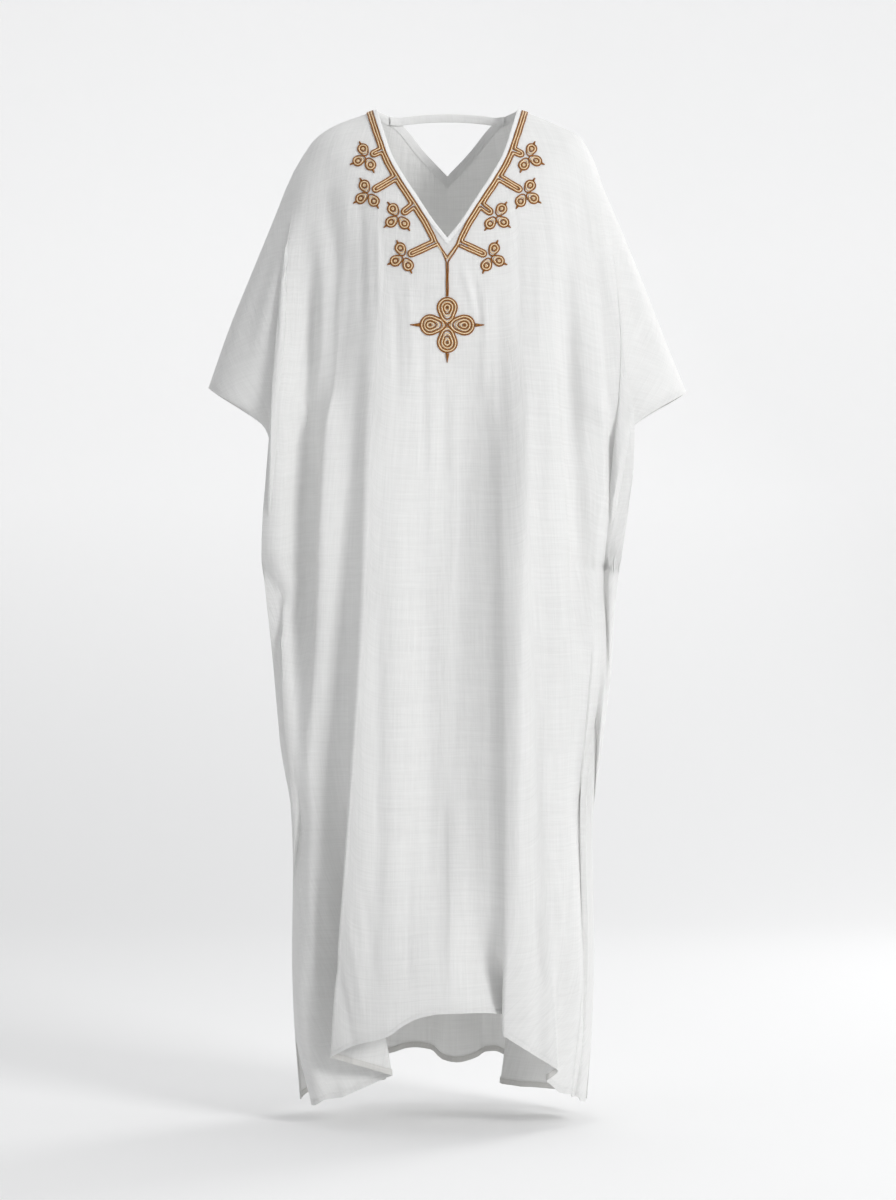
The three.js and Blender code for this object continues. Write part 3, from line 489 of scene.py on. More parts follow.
def cloth_object(name, walls, material):
    """Closed walls as one piece. Each wall is a grid of outer and of inner points in mm, with the cloth's own
    measure across and down as its UV."""
    all_points, all_faces, all_measure, so_far = [], [], [], 0
    for outer, inner, across, down in walls:
        rows, columns = outer.shape[:2]
        at = np.arange(rows * columns).reshape(rows, columns)
        a, b, c, d = at[:-1, :-1], at[1:, :-1], at[1:, 1:], at[:-1, 1:]
        far = rows * columns
        ring = np.r_[at[0, :], at[1:, -1], at[-1, -2::-1], at[-2:0:-1, 0]]
        after = np.roll(ring, -1)
        faces = np.concatenate([
            np.stack([a, b, c, d], 2).reshape(-1, 4),
            np.stack([a, d, c, b], 2).reshape(-1, 4) + far,
            np.stack([ring, after, after + far, ring + far], 1),
        ])
        points = np.concatenate([outer.reshape(-1, 3), inner.reshape(-1, 3)]) * MM
        k, l, m, n = (points[faces[:, i]] for i in range(4))
        if np.einsum("ij,ij->", k, np.cross(l, m)) + np.einsum("ij,ij->", k, np.cross(m, n)) < 0:
            faces = faces[:, ::-1]
        measure = np.stack([across.ravel(), down.ravel()], 1)
        all_points.append(points)
        all_faces.append(faces + so_far)
        all_measure += [measure, measure]
        so_far += len(points)
    faces, measure = np.concatenate(all_faces), np.concatenate(all_measure)
    mesh = bpy.data.meshes.new(name)
    mesh.from_pydata(np.concatenate(all_points).tolist(), [], faces.tolist())
    uv = mesh.uv_layers.new(name="cloth")
    uv.data.foreach_set("uv", measure[faces.ravel()].astype(np.float32).ravel())
    mesh.shade_smooth()
    mesh.set_sharp_from_angle(angle=math.radians(CLOTH_SHARP))
    mesh.materials.append(material)
    return place_object(name, mesh)


def inward_normals(points, face):
    """Where the wall's inner face goes from each point. Along the seams it runs in the seam's own plane."""
    normal = -outward(points, face)
    z = points[:, :, 2]
    seam = np.zeros(z.shape, bool)
    seam[0] = np.abs(points[0, :, 0]) > NECK_HALF - 1e-3
    for column in (0, -1):
        seam[:, column] |= (z[:, column] < CUFF_FOOT_Z) & (z[:, column] > SLIT_TOP_Z)
    normal[seam, 1] = 0
    return normal / np.maximum(np.linalg.norm(normal, axis=2, keepdims=True), 1e-9)


def srgb(code):
    """A linear colour from an sRGB hex code."""
    parts = [int(code[i : i + 2], 16) / 255 for i in (1, 3, 5)]
    return (*[c / 12.92 if c <= 0.04045 else ((c + 0.055) / 1.055) ** 2.4 for c in parts], 1)


def add_node(tree, kind, settings=None, links=None):
    """A node of a tree with its settings and sockets set, and its links made."""
    node = tree.nodes.new(kind)
    for key, value in (settings or {}).items():
        if isinstance(key, str) and hasattr(node, key) and key not in node.inputs:
            setattr(node, key, value)
        else:
            node.inputs[key].default_value = value
    for key, source in (links or {}).items():
        tree.links.new(source, node.inputs[key])
    return node


def new_material(name):
    material = bpy.data.materials.new(name)
    material.use_nodes = True
    material.node_tree.nodes.clear()
    return material


def linen_material(name, white, shade, sheer):
    """Washed linen in plain weave. Uneven yarn gives fine cross lines, and the cloth is matt, soft and a little
    sheer, so light comes through one layer more than through a turned hem. Real threads lie too close to show,
    so the yarn lines and the slubs are drawn coarser, as they read from afar."""
    material = new_material(name)
    tree = material.node_tree
    measure = add_node(tree, "ShaderNodeUVMap", {"uv_map": "cloth"}).outputs["UV"]

    def yarn(across, down, detail):
        place = add_node(tree, "ShaderNodeMapping", {"Scale": (1 / across, 1 / down, 1)}, {"Vector": measure})
        return add_node(tree, "ShaderNodeTexNoise", {"Scale": 1.0, "Detail": detail, "Roughness": 0.55},
                        {"Vector": place.outputs["Vector"]}).outputs["Fac"]

    warp, weft = yarn(1.3, 50, 2.0), yarn(50, 1.3, 2.0)
    slub_down, slub_across = yarn(3.4, 130, 1.0), yarn(110, 3.4, 1.0)
    fine = add_node(tree, "ShaderNodeMath", {"operation": "ADD"}, {0: warp, 1: weft}).outputs[0]
    coarse = add_node(tree, "ShaderNodeMath", {"operation": "ADD"}, {0: slub_down, 1: slub_across}).outputs[0]
    threads = add_node(tree, "ShaderNodeMath", {"operation": "MULTIPLY_ADD", 1: 0.7},
                       {0: coarse, 2: fine}).outputs[0]
    tone = add_node(tree, "ShaderNodeMapRange", {"From Min": 1.3, "From Max": 2.1},
                    {"Value": threads}).outputs[0]
    colour = add_node(tree, "ShaderNodeMix", {"data_type": "RGBA", 6: srgb(shade), 7: srgb(white)}, {0: tone})
    # creases left from washing and folding, longer than they are wide
    crease = yarn(16, 55, 3.0)
    soft = add_node(tree, "ShaderNodeBump", {"Strength": 0.5, "Distance": 0.0022}, {"Height": crease})
    bump = add_node(tree, "ShaderNodeBump", {"Strength": 0.45, "Distance": 0.00016},
                    {"Height": threads, "Normal": soft.outputs[0]})
    cloth = add_node(tree, "ShaderNodeBsdfPrincipled", {"Roughness": 0.93, "Sheen Weight": 0.25,
                     "Sheen Roughness": 0.5, "Specular IOR Level": 0.25},
                     {"Base Color": colour.outputs[2], "Normal": bump.outputs[0]})
    behind = add_node(tree, "ShaderNodeBsdfTranslucent", None,
                      {"Color": colour.outputs[2], "Normal": bump.outputs[0]})
    both = add_node(tree, "ShaderNodeMixShader", {0: sheer}, {1: cloth.outputs[0], 2: behind.outputs[0]})
    add_node(tree, "ShaderNodeOutputMaterial", None, {"Surface": both.outputs[0]})
    return material


def cloth_measure(points):
    """The cloth's own measure in mm: across from the centre line, and down from the shoulder."""
    across = lengths(points, 1)
    centre = int(np.argmin(np.abs(points[0, :, 0])))
    return across - across[:, [centre]], points[:1, :, 2] - lengths(points, 0)


def cloth_piece(name, points, face):
    inner = points + inward_normals(points, face) * WALL
    return cloth_object(name, [(points, inner, *cloth_measure(points))], LINEN)


LINEN = linen_material("washed_linen", "#FBFBFA", "#F1F1F0", 0.3)
# painted shade: the turned hems' linen is coloured darker than the cloth, for the doubled layers letting less
# light through
HEM_LINEN_PAINTED_SHADE = linen_material("turned_linen_painted_shade", "#EAE9E6", "#DEDDDA", 0.18)
BINDING_LINEN = linen_material("folded_linen", "#FAFAF9", "#F3F3F2", 0.1)
FRONT = cloth_grid("front")
front_cloth = cloth_piece("front_cloth", FRONT, "front")
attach(front_cloth, "root")
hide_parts("front_panel")

# ---------------------------------------------------------------- back cloth
# The same cut in the same linen with a shallower neck. It is the longer cloth, and shows below the front's hem.
BACK = cloth_grid("back")
back_cloth = cloth_piece("back_cloth", BACK, "back")
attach(back_cloth, "root")
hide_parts("back_panel")

# ---------------------------------------------------------------- turned hems
# The cloth's edge is turned to the inside along hem, slits and cuffs, and stitched. Two more layers lie there,
# so the hems look a shade darker where light comes through the cloth; this is painted shade, as their linen is
# coloured darker than the cloth's own.
HEM_LAYERS = 0.9   # thickness of the two turned layers
HEM_CLEAR = 0.05   # between them and the cloth, and between the cloth and its stitches
TURN_DEPTHS = (0.5, 2.5, 5.0, 6.8, HEM_TURN)
NEAR_COLUMNS = 60  # columns in from an edge among which the turned depth is looked for


def near_edge(points, grids, edge, depths, rows=None):
    """Points of each grid at depths in from the cloth's hem or its left or right edge, measured on points."""
    if edge == "hem":
        down = lengths(points, 0)
        away, grids = (down[-1] - down).T[:, ::-1], [g.transpose(1, 0, 2)[:, ::-1] for g in grids]
    elif edge == "left":
        away = from_edge(points, edge)
    else:
        away, grids = from_edge(points, edge)[:, ::-1], [g[:, ::-1] for g in grids]
    rows = range(len(away)) if rows is None else np.flatnonzero(rows)
    near = slice(NEAR_COLUMNS)
    return [np.array([[[np.interp(d, away[r, near], g[r, near, k]) for k in range(3)] for d in depths]
                      for r in rows]) for g in grids]


def turned_edges(points):
    """Each turned edge of a cloth with its rows: the hem, and on each side the cuff and the slit."""
    found = [("hem", None)]
    for side in ("left", "right"):
        turned, z = turned_rows(points, side), points[:, 0 if side == "left" else -1, 2]
        found += [(side, turned & (z > SLIT_TOP_Z)), (side, turned & (z < SLIT_TOP_Z))]
    return found


stitch_lines = []
for face, points, panel in (("front", FRONT, front_cloth), ("back", BACK, back_cloth)):
    inward = inward_normals(points, face)
    under = points + inward * (WALL + HEM_CLEAR)
    deeper = points + inward * (WALL + HEM_CLEAR + HEM_LAYERS)
    walls = []
    for edge, rows in turned_edges(points):
        low, high = near_edge(points, [under, deeper], edge, TURN_DEPTHS, rows)
        walls.append((low, high, lengths(low, 0), lengths(low, 1)))
        outside = near_edge(points, [points - inward * HEM_CLEAR], edge, (HEM_TURN - STITCH_IN,), rows)[0]
        stitch_lines.append(outside[:, 0])
    hems = cloth_object(f"{face}_turned_hems", walls, HEM_LINEN_PAINTED_SHADE)
    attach(hems, "root")

# ---------------------------------------------------------------- neck bindings
# A narrow strip of the same linen is folded over each neck edge: a plain margin outside, and a wider leg inside
# that shows round the back of the neck. It is stitched through near its inner edge.
BINDING_GAP = 0.35    # between the binding and the cloth
BINDING_THICK = 0.6
BINDING_OUT = 4.2     # width of the margin outside
BINDING_IN = 10       # and of the leg inside
NECK_SIDE_X = 60      # beyond this the neck edge runs up to the neck point, and away from it is sideways
NECK_POINT_LEAN = 0.25  # of the binding's end at the neck point


def cloth_tree(points):
    rows, columns = points.shape[:2]
    at = np.arange(rows * columns).reshape(rows, columns)
    quads = np.stack([at[:-1, :-1], at[1:, :-1], at[1:, 1:], at[:-1, 1:]], 2).reshape(-1, 4)
    return BVHTree.FromPolygons(points.reshape(-1, 3).tolist(), quads.tolist())


TREES = {"front": cloth_tree(FRONT), "back": cloth_tree(BACK)}


def even_path(path, spacing, closed=False):
    """A path in mm resampled to even steps."""
    path = np.concatenate([path, path[:1]]) if closed else path
    gone = np.r_[0, np.cumsum(np.linalg.norm(np.diff(path, axis=0), axis=1))]
    count = max(int(round(gone[-1] / spacing)), 2)
    at = np.linspace(0, gone[-1], count + 1)[: -1 if closed else None]
    return np.stack([np.interp(at, gone, path[:, k]) for k in range(path.shape[1])], 1)


def neck_edge(face):
    points = FRONT if face == "front" else BACK
    inside = np.abs(points[0, :, 0]) <= NECK_HALF + 1e-3
    return points[0, inside]


def beside_neck(face, distance, lift):
    """The path on the cloth at a distance from the neck edge, lifted off its outer face, with its normals."""
    edge = neck_edge(face)
    sign = -1 if face == "front" else 1
    ways = np.diff(edge, axis=0)
    ways /= np.linalg.norm(ways, axis=1, keepdims=True)
    path, normals = [], []
    distance = np.broadcast_to(distance, len(edge))
    for i, point in enumerate(edge):
        before, after = ways[max(i - 1, 0)], ways[min(i, len(ways) - 1)]
        along = before + after
        along /= np.linalg.norm(along)
        normal = np.array(TREES[face].find_nearest(Vector(point))[1])
        normal *= np.sign(normal[1] * sign) if abs(normal[1]) > 0.05 else np.sign(normal[2])
        if i in (0, len(edge) - 1):
            along, normal = np.array([0, sign if i == 0 else -sign, 0.0]), np.array([0, 0, 1.0])
        away = np.cross(normal, along)
        away *= np.sign(away[2]) * -1 if abs(point[0]) < NECK_SIDE_X else np.sign(away[0] * point[0])
        away /= np.linalg.norm(away) * max(math.sqrt((1 + before @ after) / 2), 0.5)
        reach = Vector(point + away * distance[i])
        spot, facing = TREES[face].find_nearest(reach)[:2]
        facing = np.array(facing)
        facing *= np.sign(facing @ normal)
        spot = np.array(reach if distance[i] < 0 else spot)
        if i in (0, len(edge) - 1):
            facing = np.array([NECK_POINT_LEAN * np.sign(point[0]), 0, 1.0])
            facing /= np.linalg.norm(facing)
        spot = spot + facing * lift
        spot[1] = sign * max(sign * spot[1], SEAM_GAP / 2)
        path.append(spot)
        normals.append(facing)
    return np.array(path), np.array(normals)


for face in ("front", "back"):
    out, under = BINDING_GAP, -WALL - BINDING_GAP
    # the strip's inner face, as distance in from the neck edge and height over the cloth, and what its
    # thickness adds to the height and the distance at each of these
    legs = [(BINDING_OUT, out), (2, out), (0.2, out), (-0.7, out * 0.2), (-0.9, (out + under) / 2),
            (-0.7, under * 0.9), (0.2, under), (4, under), (BINDING_IN, under)]
    flat, turning = (BINDING_THICK, 0), (BINDING_THICK * 0.7, -0.4)
    thick = [flat, flat, flat, turning, (0, -BINDING_THICK), (-turning[0], turning[1])]
    thick += [(-BINDING_THICK, 0)] * 3
    near = np.array([beside_neck(face, away, lift)[0] for away, lift in legs])
    far = np.array([beside_neck(face, away + more, lift + rise)[0]
                    for (away, lift), (rise, more) in zip(legs, thick)])
    wall = (far, near, lengths(near, 1), lengths(near, 0))
    binding = cloth_object(f"{face}_neck_binding", [wall], BINDING_LINEN)
    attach(binding, "root")
    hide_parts(f"neck_binding_{face}")
    stitch_lines.append(beside_neck(face, BINDING_OUT - 1, BINDING_GAP + BINDING_THICK)[0])

# ---------------------------------------------------------------- back neck strap
# A flat strap of doubled linen, edge-stitched, runs across the back of the neck and holds the shoulders
# together.
STRAP = dict(wide=11, thick=1.4, inset=5.5, bare=66, reach=78, level=-9, arch=6, bow=6)
STRAP_COLUMNS = 49
STRAP_ROWS = (0.5, 0.46, 0.3, 0, -0.3, -0.46, -0.5)  # parts of its width
STRAP_ROLL = (0.35, 0.1, 0, 0, 0, 0.1, 0.35)         # how far each row is rolled under


def strap_grid(inset):
    across = np.linspace(-STRAP["reach"], STRAP["reach"], STRAP_COLUMNS)
    drops = STRAP["wide"] * np.array(STRAP_ROWS)
    roll = np.array(STRAP_ROLL) * (1 if inset == 0 else -1)
    grid = []
    for drop, rolled in zip(drops, roll):
        bare = np.clip(1 - (across / STRAP["bare"]) ** 2, 0, 1)
        seat = np.maximum(np.abs(across), STRAP["bare"])
        z = np.full(len(across), STRAP["level"] + drop)
        side = [form_depth("left" if x < 0 else "right", "back", s, s / line_x("left")(h), h)
                for x, s, h in zip(across, seat, z)]
        y = np.array(side) - STRAP["inset"] + STRAP["bow"] * bare - inset - rolled
        grid.append(np.stack([across, y, z + STRAP["arch"] * bare], 1))
    return np.array(grid)


outer, inner = strap_grid(0), strap_grid(STRAP["thick"])
strap = cloth_object("neck_strap", [(outer, inner, lengths(outer, 1), lengths(outer, 0))], BINDING_LINEN)
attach(strap, "root")
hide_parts("back_neck_strap")
stitch_lines += [outer[1], outer[-2], inner[1], inner[-2]]

# ---------------------------------------------------------------- stitches
# Machine stitches in matt white cotton, 2.6 mm long with 1 mm between, along every hem, binding and strap edge.
# They are drawn a little thicker than the real 0.3 mm thread, so that they still show.
STITCH_LONG = 0.0026  # metres
STITCH_GAP = 0.001
THREAD = 0.00055


def stitch_tree():
    """Rows of stitches along the lines of a mesh: a bead at each even step, turned and stretched along it."""
    tree = bpy.data.node_groups.new("rows_of_stitches", "GeometryNodeTree")
    tree.interface.new_socket("Lines", in_out="INPUT", socket_type="NodeSocketGeometry")
    for name in ("Stitch length", "Gap", "Thread"):
        tree.interface.new_socket(name, in_out="INPUT", socket_type="NodeSocketFloat")
    tree.interface.new_socket("Cotton", in_out="INPUT", socket_type="NodeSocketMaterial")
    tree.interface.new_socket("Stitches", in_out="OUTPUT", socket_type="NodeSocketGeometry")
    start = add_node(tree, "NodeGroupInput").outputs
    pitch = add_node(tree, "ShaderNodeMath", {"operation": "ADD"}, {0: start["Stitch length"], 1: start["Gap"]})
    line = add_node(tree, "GeometryNodeMeshToCurve", None, {"Mesh": start["Lines"]})
    even = add_node(tree, "GeometryNodeResampleCurve", {"mode": "LENGTH"},
                    {"Curve": line.outputs[0], "Length": pitch.outputs[0]})
    way = add_node(tree, "GeometryNodeInputTangent")
    turn = add_node(tree, "FunctionNodeAlignRotationToVector", {"axis": "Z"}, {"Vector": way.outputs[0]})
    size = add_node(tree, "ShaderNodeCombineXYZ", None,
                    {0: start["Thread"], 1: start["Thread"], 2: start["Stitch length"]})
    bead = add_node(tree, "GeometryNodeMeshUVSphere", {"Segments": 6, "Rings": 4, "Radius": 0.5})
    rows = add_node(tree, "GeometryNodeInstanceOnPoints", None, {
        "Points": even.outputs[0], "Instance": bead.outputs[0], "Rotation": turn.outputs[0],
        "Scale": size.outputs[0]})
    real = add_node(tree, "GeometryNodeRealizeInstances", None, {0: rows.outputs[0]})
    soft = add_node(tree, "GeometryNodeSetShadeSmooth", None, {0: real.outputs[0]})
    done = add_node(tree, "GeometryNodeSetMaterial", None, {0: soft.outputs[0], "Material": start["Cotton"]})
    add_node(tree, "NodeGroupOutput", None, {0: done.outputs[0]})
    return tree


def line_object(name, lines):
    """Lines in mm as a mesh of edges."""
    points, edges = [], []
    for line in lines:
        edges += [(len(points) + i, len(points) + i + 1) for i in range(len(line) - 1)]
        points += (np.asarray(line) * MM).tolist()
    mesh = bpy.data.meshes.new(name)
    mesh.from_pydata(points, edges, [])
    return place_object(name, mesh)


def cotton_material():
    """Spun cotton sewing thread: matt, a touch brighter than the linen it lies on."""
    material = new_material("cotton_thread")
    tree = material.node_tree
    place = add_node(tree, "ShaderNodeTexCoord").outputs["Object"]
    twist = add_node(tree, "ShaderNodeTexNoise", {"Scale": 1800.0, "Detail": 1.0}, {"Vector": place})
    colour = add_node(tree, "ShaderNodeMix", {"data_type": "RGBA", 6: srgb("#E9E9E6"), 7: srgb("#FBFBFA")},
                      {0: twist.outputs["Fac"]})
    cotton = add_node(tree, "ShaderNodeBsdfPrincipled", {"Roughness": 0.8, "Sheen Weight": 0.2},
                      {"Base Color": colour.outputs[2]})
    add_node(tree, "ShaderNodeOutputMaterial", None, {"Surface": cotton.outputs[0]})
    return material


stitches = line_object("stitches", stitch_lines)
tree = stitch_tree()
modifier = stitches.modifiers.new("rows", "NODES")
modifier.node_group = tree
sockets = {item.name: item.identifier for item in tree.interface.items_tree if item.in_out == "INPUT"}
for name, value in (("Stitch length", STITCH_LONG), ("Gap", STITCH_GAP), ("Thread", THREAD),
                    ("Cotton", cotton_material())):
    modifier[sockets[name]] = value
stitches.data = bpy.data.meshes.new_from_object(stitches.evaluated_get(bpy.context.evaluated_depsgraph_get()))
stitches.modifiers.clear()
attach(stitches, "root")

# ---------------------------------------------------------------- gold cord band
# Twisted gold cord is laid and stitched down by hand, dark and pale cords by turns. Five cords follow the neck
# edge. The outer ones turn out along each bar and back, and the third of each side runs down below the V as
# the stem.
CORD = 0.92        # a cord's radius
CORD_STEP = 1.8    # between the middles of two cords that lie side by side
CORD_LIFT = 0.85   # the middle of a cord above the cloth
CORD_LAY = 1.9     # length over which its strands turn once
CORD_SIDES = 8
CORD_PIECE = 1.5   # length of one straight piece of a cord
CORD_ROUNDS = 2    # times that its corners are rounded
CORD_WANDER = 0.16 # how far a hand-laid cord wanders to each side
CORD_SWING = 0.37  # how fast it does
CORD_SHARP = 60    # degrees, as for the cloth
CLEAR_Y = -400     # in front of everything
BAND_FROM = 5.6    # from the neck edge to the first cord
BAND_FOOT_DROP = 9.5  # how much farther the band lies from the point of the V
BAND_FOOT_X = 28   # and the half-width over which it comes to that
BAR_CLEAR = 5.5    # from a bar's end to its motif's centre
BAR_SIDES = (4.9, 3.25, 1.6)  # from a bar's middle to its outer, pale and inner cords
BAR_CORE_STOP = 10.4  # from the end of a bar's middle cord to its motif's centre
BAR_END_POINTS = 9
STEM_TOP_Z = -218
STEM_FOOT_Z = -265.8
STEM_HALF = 1.0    # from the stem's middle to its two cords
STEM_STEP = 2.0
STEM_JOIN_X = 1.6  # half-width at which the band's cord turns down into the stem
# Where each bar leaves the band and where its motif's centre lies, from the neck point down.
MOTIFS = [dict(bar=(92.5, -66.7), centre=(107.5, -73.5)), dict(bar=(75.5, -107), centre=(104, -124)),
          dict(bar=(54, -148), centre=(64.5, -156)), dict(bar=(27, -197), centre=(57, -210.5))]
cords = {"band": [], "trefoils": [], "quatrefoil": []}


def laid(path):
    """Points and normals on the front cloth under a path drawn on it as x, z."""
    found = []
    for x, z in path:
        spot, facing = TREES["front"].ray_cast(Vector((x, CLEAR_Y, z)), Vector((0, 1, 0)))[:2]
        facing = np.array(facing) * (-1 if facing[1] > 0 else 1)
        found.append([*spot, *facing])
    return np.array(found)


def band_line(side, distance):
    """Points and normals along one side of the neck edge at a distance from it, from the neck point down."""
    x = np.abs(neck_edge("front")[:, 0])
    foot = np.clip(1 - x / BAND_FOOT_X, 0, 1)
    line = np.hstack(beside_neck("front", distance + BAND_FOOT_DROP * foot**2, 0))
    return line[x.argmin() :: -1][::-1] if side < 0 else line[x.argmin() :][::-1]


def add_cord(group, path, tone, closed=False, radius=CORD):
    """One cord along points and normals: evened out, its corners rounded, and lifted to lie on the cloth."""
    path = even_path(path, CORD_PIECE, closed)
    for _ in range(CORD_ROUNDS):
        before, after = np.roll(path, 1, axis=0), np.roll(path, -1, axis=0)
        if not closed:
            before[0], after[-1] = path[0], path[-1]
        path = (before + 2 * path + after) / 4
    normals = path[:, 3:] / np.linalg.norm(path[:, 3:], axis=1, keepdims=True)
    wander = CORD_WANDER * np.sin(np.arange(len(path)) * CORD_SWING + len(cords[group]))[:, None]
    way = np.gradient(path[:, :3], axis=0)
    aside = np.cross(way / np.linalg.norm(way, axis=1, keepdims=True), normals)
    radius = np.broadcast_to(radius, len(path)) if np.ndim(radius) == 0 else np.interp(
        np.linspace(0, 1, len(path)), np.linspace(0, 1, len(radius)), radius)
    cords[group].append((path[:, :3] + normals * CORD_LIFT + aside * wander, normals, radius, tone, closed))


def bar_line(side, motif):
    """Where a bar leaves the band, its motif's centre, and the unit way from the one to the other, as x, z."""
    bar, centre = (np.array([side * motif[k][0], motif[k][1]]) for k in ("bar", "centre"))
    return bar, centre, (centre - bar) / np.linalg.norm(centre - bar)


def with_bars(side, line, reach):
    """A line of the band led out round each bar at a reach from the bar's middle, and back."""
    path, rest = [], line
    for motif in MOTIFS:
        bar, centre, way = bar_line(side, motif)
        up = np.array([-way[1], way[0]]) * side
        height = (rest[:, [0, 2]] - bar) @ up
        above, below = np.flatnonzero(height > reach)[-1], np.flatnonzero(height < -reach)[0]
        turn = centre - way * (BAR_CLEAR + BAR_SIDES[0])
        start = rest[above, [0, 2]]
        start = turn + up * reach + way * min((start - turn) @ way, 0)
        stop = turn - up * reach + way * min((rest[below, [0, 2]] - turn) @ way, 0)
        half_turn = np.linspace(0, math.pi, BAR_END_POINTS)
        round_end = [turn + reach * (up * math.cos(a) + way * math.sin(a)) for a in half_turn]
        out_and_back = np.array([start, *round_end, stop])
        plain = even_path(out_and_back, CORD_PIECE)
        path += [rest[: above + 1], laid(plain)]
        rest = rest[below:]
    return path, rest


for side in (-1, 1):
    lines = [band_line(side, BAND_FROM + k * CORD_STEP) for k in range(5)]
    add_cord("band", lines[0], "dark")
    add_cord("band", lines[1], "pale")
    path, rest = with_bars(side, lines[2], BAR_SIDES[2])
    stem = laid([(side * STEM_HALF, z) for z in np.arange(STEM_TOP_Z, STEM_FOOT_Z, -STEM_STEP)])
    add_cord("band", np.concatenate([*path, rest[np.abs(rest[:, 0]) > STEM_JOIN_X], stem]), "dark")
    add_cord("band", np.concatenate(with_bars(side, lines[3], BAR_SIDES[1])[0]), "pale")
    add_cord("band", np.concatenate(with_bars(side, lines[4], BAR_SIDES[0])[0]), "dark")
    for motif in MOTIFS:
        bar, centre, way = bar_line(side, motif)
        core = np.arange(0, np.linalg.norm(centre - bar) - BAR_CORE_STOP, 1.0)
        add_cord("band", laid([bar + way * t for t in core]), "pale")


def gold_material_with_groove_shade(name, low, high):
    """Metal thread spun round a cotton core and twisted as two strands: satin gold, finely grooved aslant, with
    painted shade: its colour is darker down in the grooves and lighter on the strands.
    """
    material = new_material(name)
    tree = material.node_tree
    place = add_node(tree, "ShaderNodeUVMap", {"uv_map": "cord"}).outputs["UV"]
    parts = add_node(tree, "ShaderNodeSeparateXYZ", None, {0: place}).outputs
    turns = add_node(tree, "ShaderNodeMath", {"operation": "MULTIPLY_ADD", 1: 1 / CORD_LAY},
                     {0: parts[1], 2: parts[0]})
    angle = add_node(tree, "ShaderNodeMath", {"operation": "MULTIPLY", 1: 2 * math.pi}, {0: turns.outputs[0]})
    groove = add_node(tree, "ShaderNodeMath", {"operation": "SINE"}, {0: angle.outputs[0]})
    depth = add_node(tree, "ShaderNodeMapRange", {"From Min": -1.0, "From Max": 0.6},
                     {"Value": groove.outputs[0]})
    # painted shade: the groove depth also sets the colour, from low down in the grooves to high on the strands'
    # crests
    colour = add_node(tree, "ShaderNodeMix", {"data_type": "RGBA", 6: srgb(low), 7: srgb(high)},
                      {0: depth.outputs[0]})
    bump = add_node(tree, "ShaderNodeBump", {"Strength": 0.7, "Distance": 0.0003}, {"Height": depth.outputs[0]})
    gold = add_node(tree, "ShaderNodeBsdfPrincipled", {"Roughness": 0.42, "Metallic": 0.35},
                    {"Base Color": colour.outputs[2], "Normal": bump.outputs[0]})
    add_node(tree, "ShaderNodeOutputMaterial", None, {"Surface": gold.outputs[0]})
    return material


GOLD = {"dark": gold_material_with_groove_shade("dark_gold_cord", "#5E3208", "#A86C24"),
        "pale": gold_material_with_groove_shade("pale_gold_cord", "#E0B070", "#FFEFCF")}


def cord_object(name, group):
    """The cords of one group as closed tubes, with distance round and distance along in mm as their UV."""
    points, faces, measure, tones = [], [], [], []
    for path, normals, radius, tone, closed in cords[group]:
        way = np.roll(path, -1, axis=0) - np.roll(path, 1, axis=0)
        if not closed:
            way[0], way[-1] = path[1] - path[0], path[-1] - path[-2]
        way /= np.linalg.norm(way, axis=1, keepdims=True)
        aside = np.cross(way, normals)
        aside /= np.linalg.norm(aside, axis=1, keepdims=True)
        above = np.cross(aside, way)
        angles = np.arange(CORD_SIDES) / CORD_SIDES * 2 * math.pi
        ring = [path + radius[:, None] * (math.cos(a) * aside + math.sin(a) * above) for a in angles]
        tube = np.stack(ring, 1)
        count, start = len(path), len(points)
        points += (tube.reshape(-1, 3) * MM).tolist()
        along = np.arange(count) * CORD_PIECE
        for i in range(count if closed else count - 1):
            for k in range(CORD_SIDES):
                a, b = start + i * CORD_SIDES, start + (i + 1) % count * CORD_SIDES
                faces.append((a + k, b + k, b + (k + 1) % CORD_SIDES, a + (k + 1) % CORD_SIDES))
                u, v, du, dv = k / CORD_SIDES, along[i], 1 / CORD_SIDES, CORD_PIECE
                measure += [(u, v), (u, v + dv), (u + du, v + dv), (u + du, v)]
                tones.append(tone)
        if not closed:
            for first, order in ((start, 1), (start + (count - 1) * CORD_SIDES, -1)):
                faces.append(tuple(first + k for k in range(CORD_SIDES))[::order])
                measure += [(0, 0)] * CORD_SIDES
                tones.append(tone)
    mesh = bpy.data.meshes.new(name)
    mesh.from_pydata(points, [], faces)
    uv = mesh.uv_layers.new(name="cord")
    uv.data.foreach_set("uv", np.array(measure, np.float32).ravel())
    mesh.shade_smooth()
    mesh.set_sharp_from_angle(angle=math.radians(CORD_SHARP))
    for tone in GOLD:
        mesh.materials.append(GOLD[tone])
    mesh.polygons.foreach_set("material_index", [list(GOLD).index(tone) for tone in tones])
    return place_object(name, mesh)


gold_band = cord_object("gold_band_and_stem", "band")
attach(gold_band, "root")
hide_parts("gold_band_left", "gold_band_right", "gold_stem",
            *[f"gold_bar_{side}_{i}" for side in ("left", "right") for i in (1, 2, 3, 4)])

# ---------------------------------------------------------------- gold trefoils
# Each bar ends in three eyes of coiled cord, drawn in to a point at the middle, each with a short tapered tip.
TREFOIL_OUT = 13       # from the motif's centre to that of an eye
TREFOIL_TIP_FROM = 20  # and to where its tip starts and ends
TREFOIL_TIP = 25.5
TREFOIL_DRAW = 0.6     # how far the outer ring of an eye is drawn in, of its radius
TREFOIL_POINTS = 5     # of a ring, for each mm of its radius
TREFOIL_RINGS = ((7.0, "dark"), (5.25, "pale"), (3.5, "dark"), (1.8, "pale"))
TIP_TAPER = (1.5, 1.4, 1.1, 0.6)
EYE_POINT = 0.55       # half-angle of the part of a ring that is drawn in
RING_LEAST = 14        # points of a ring
TIP_POINTS = 8


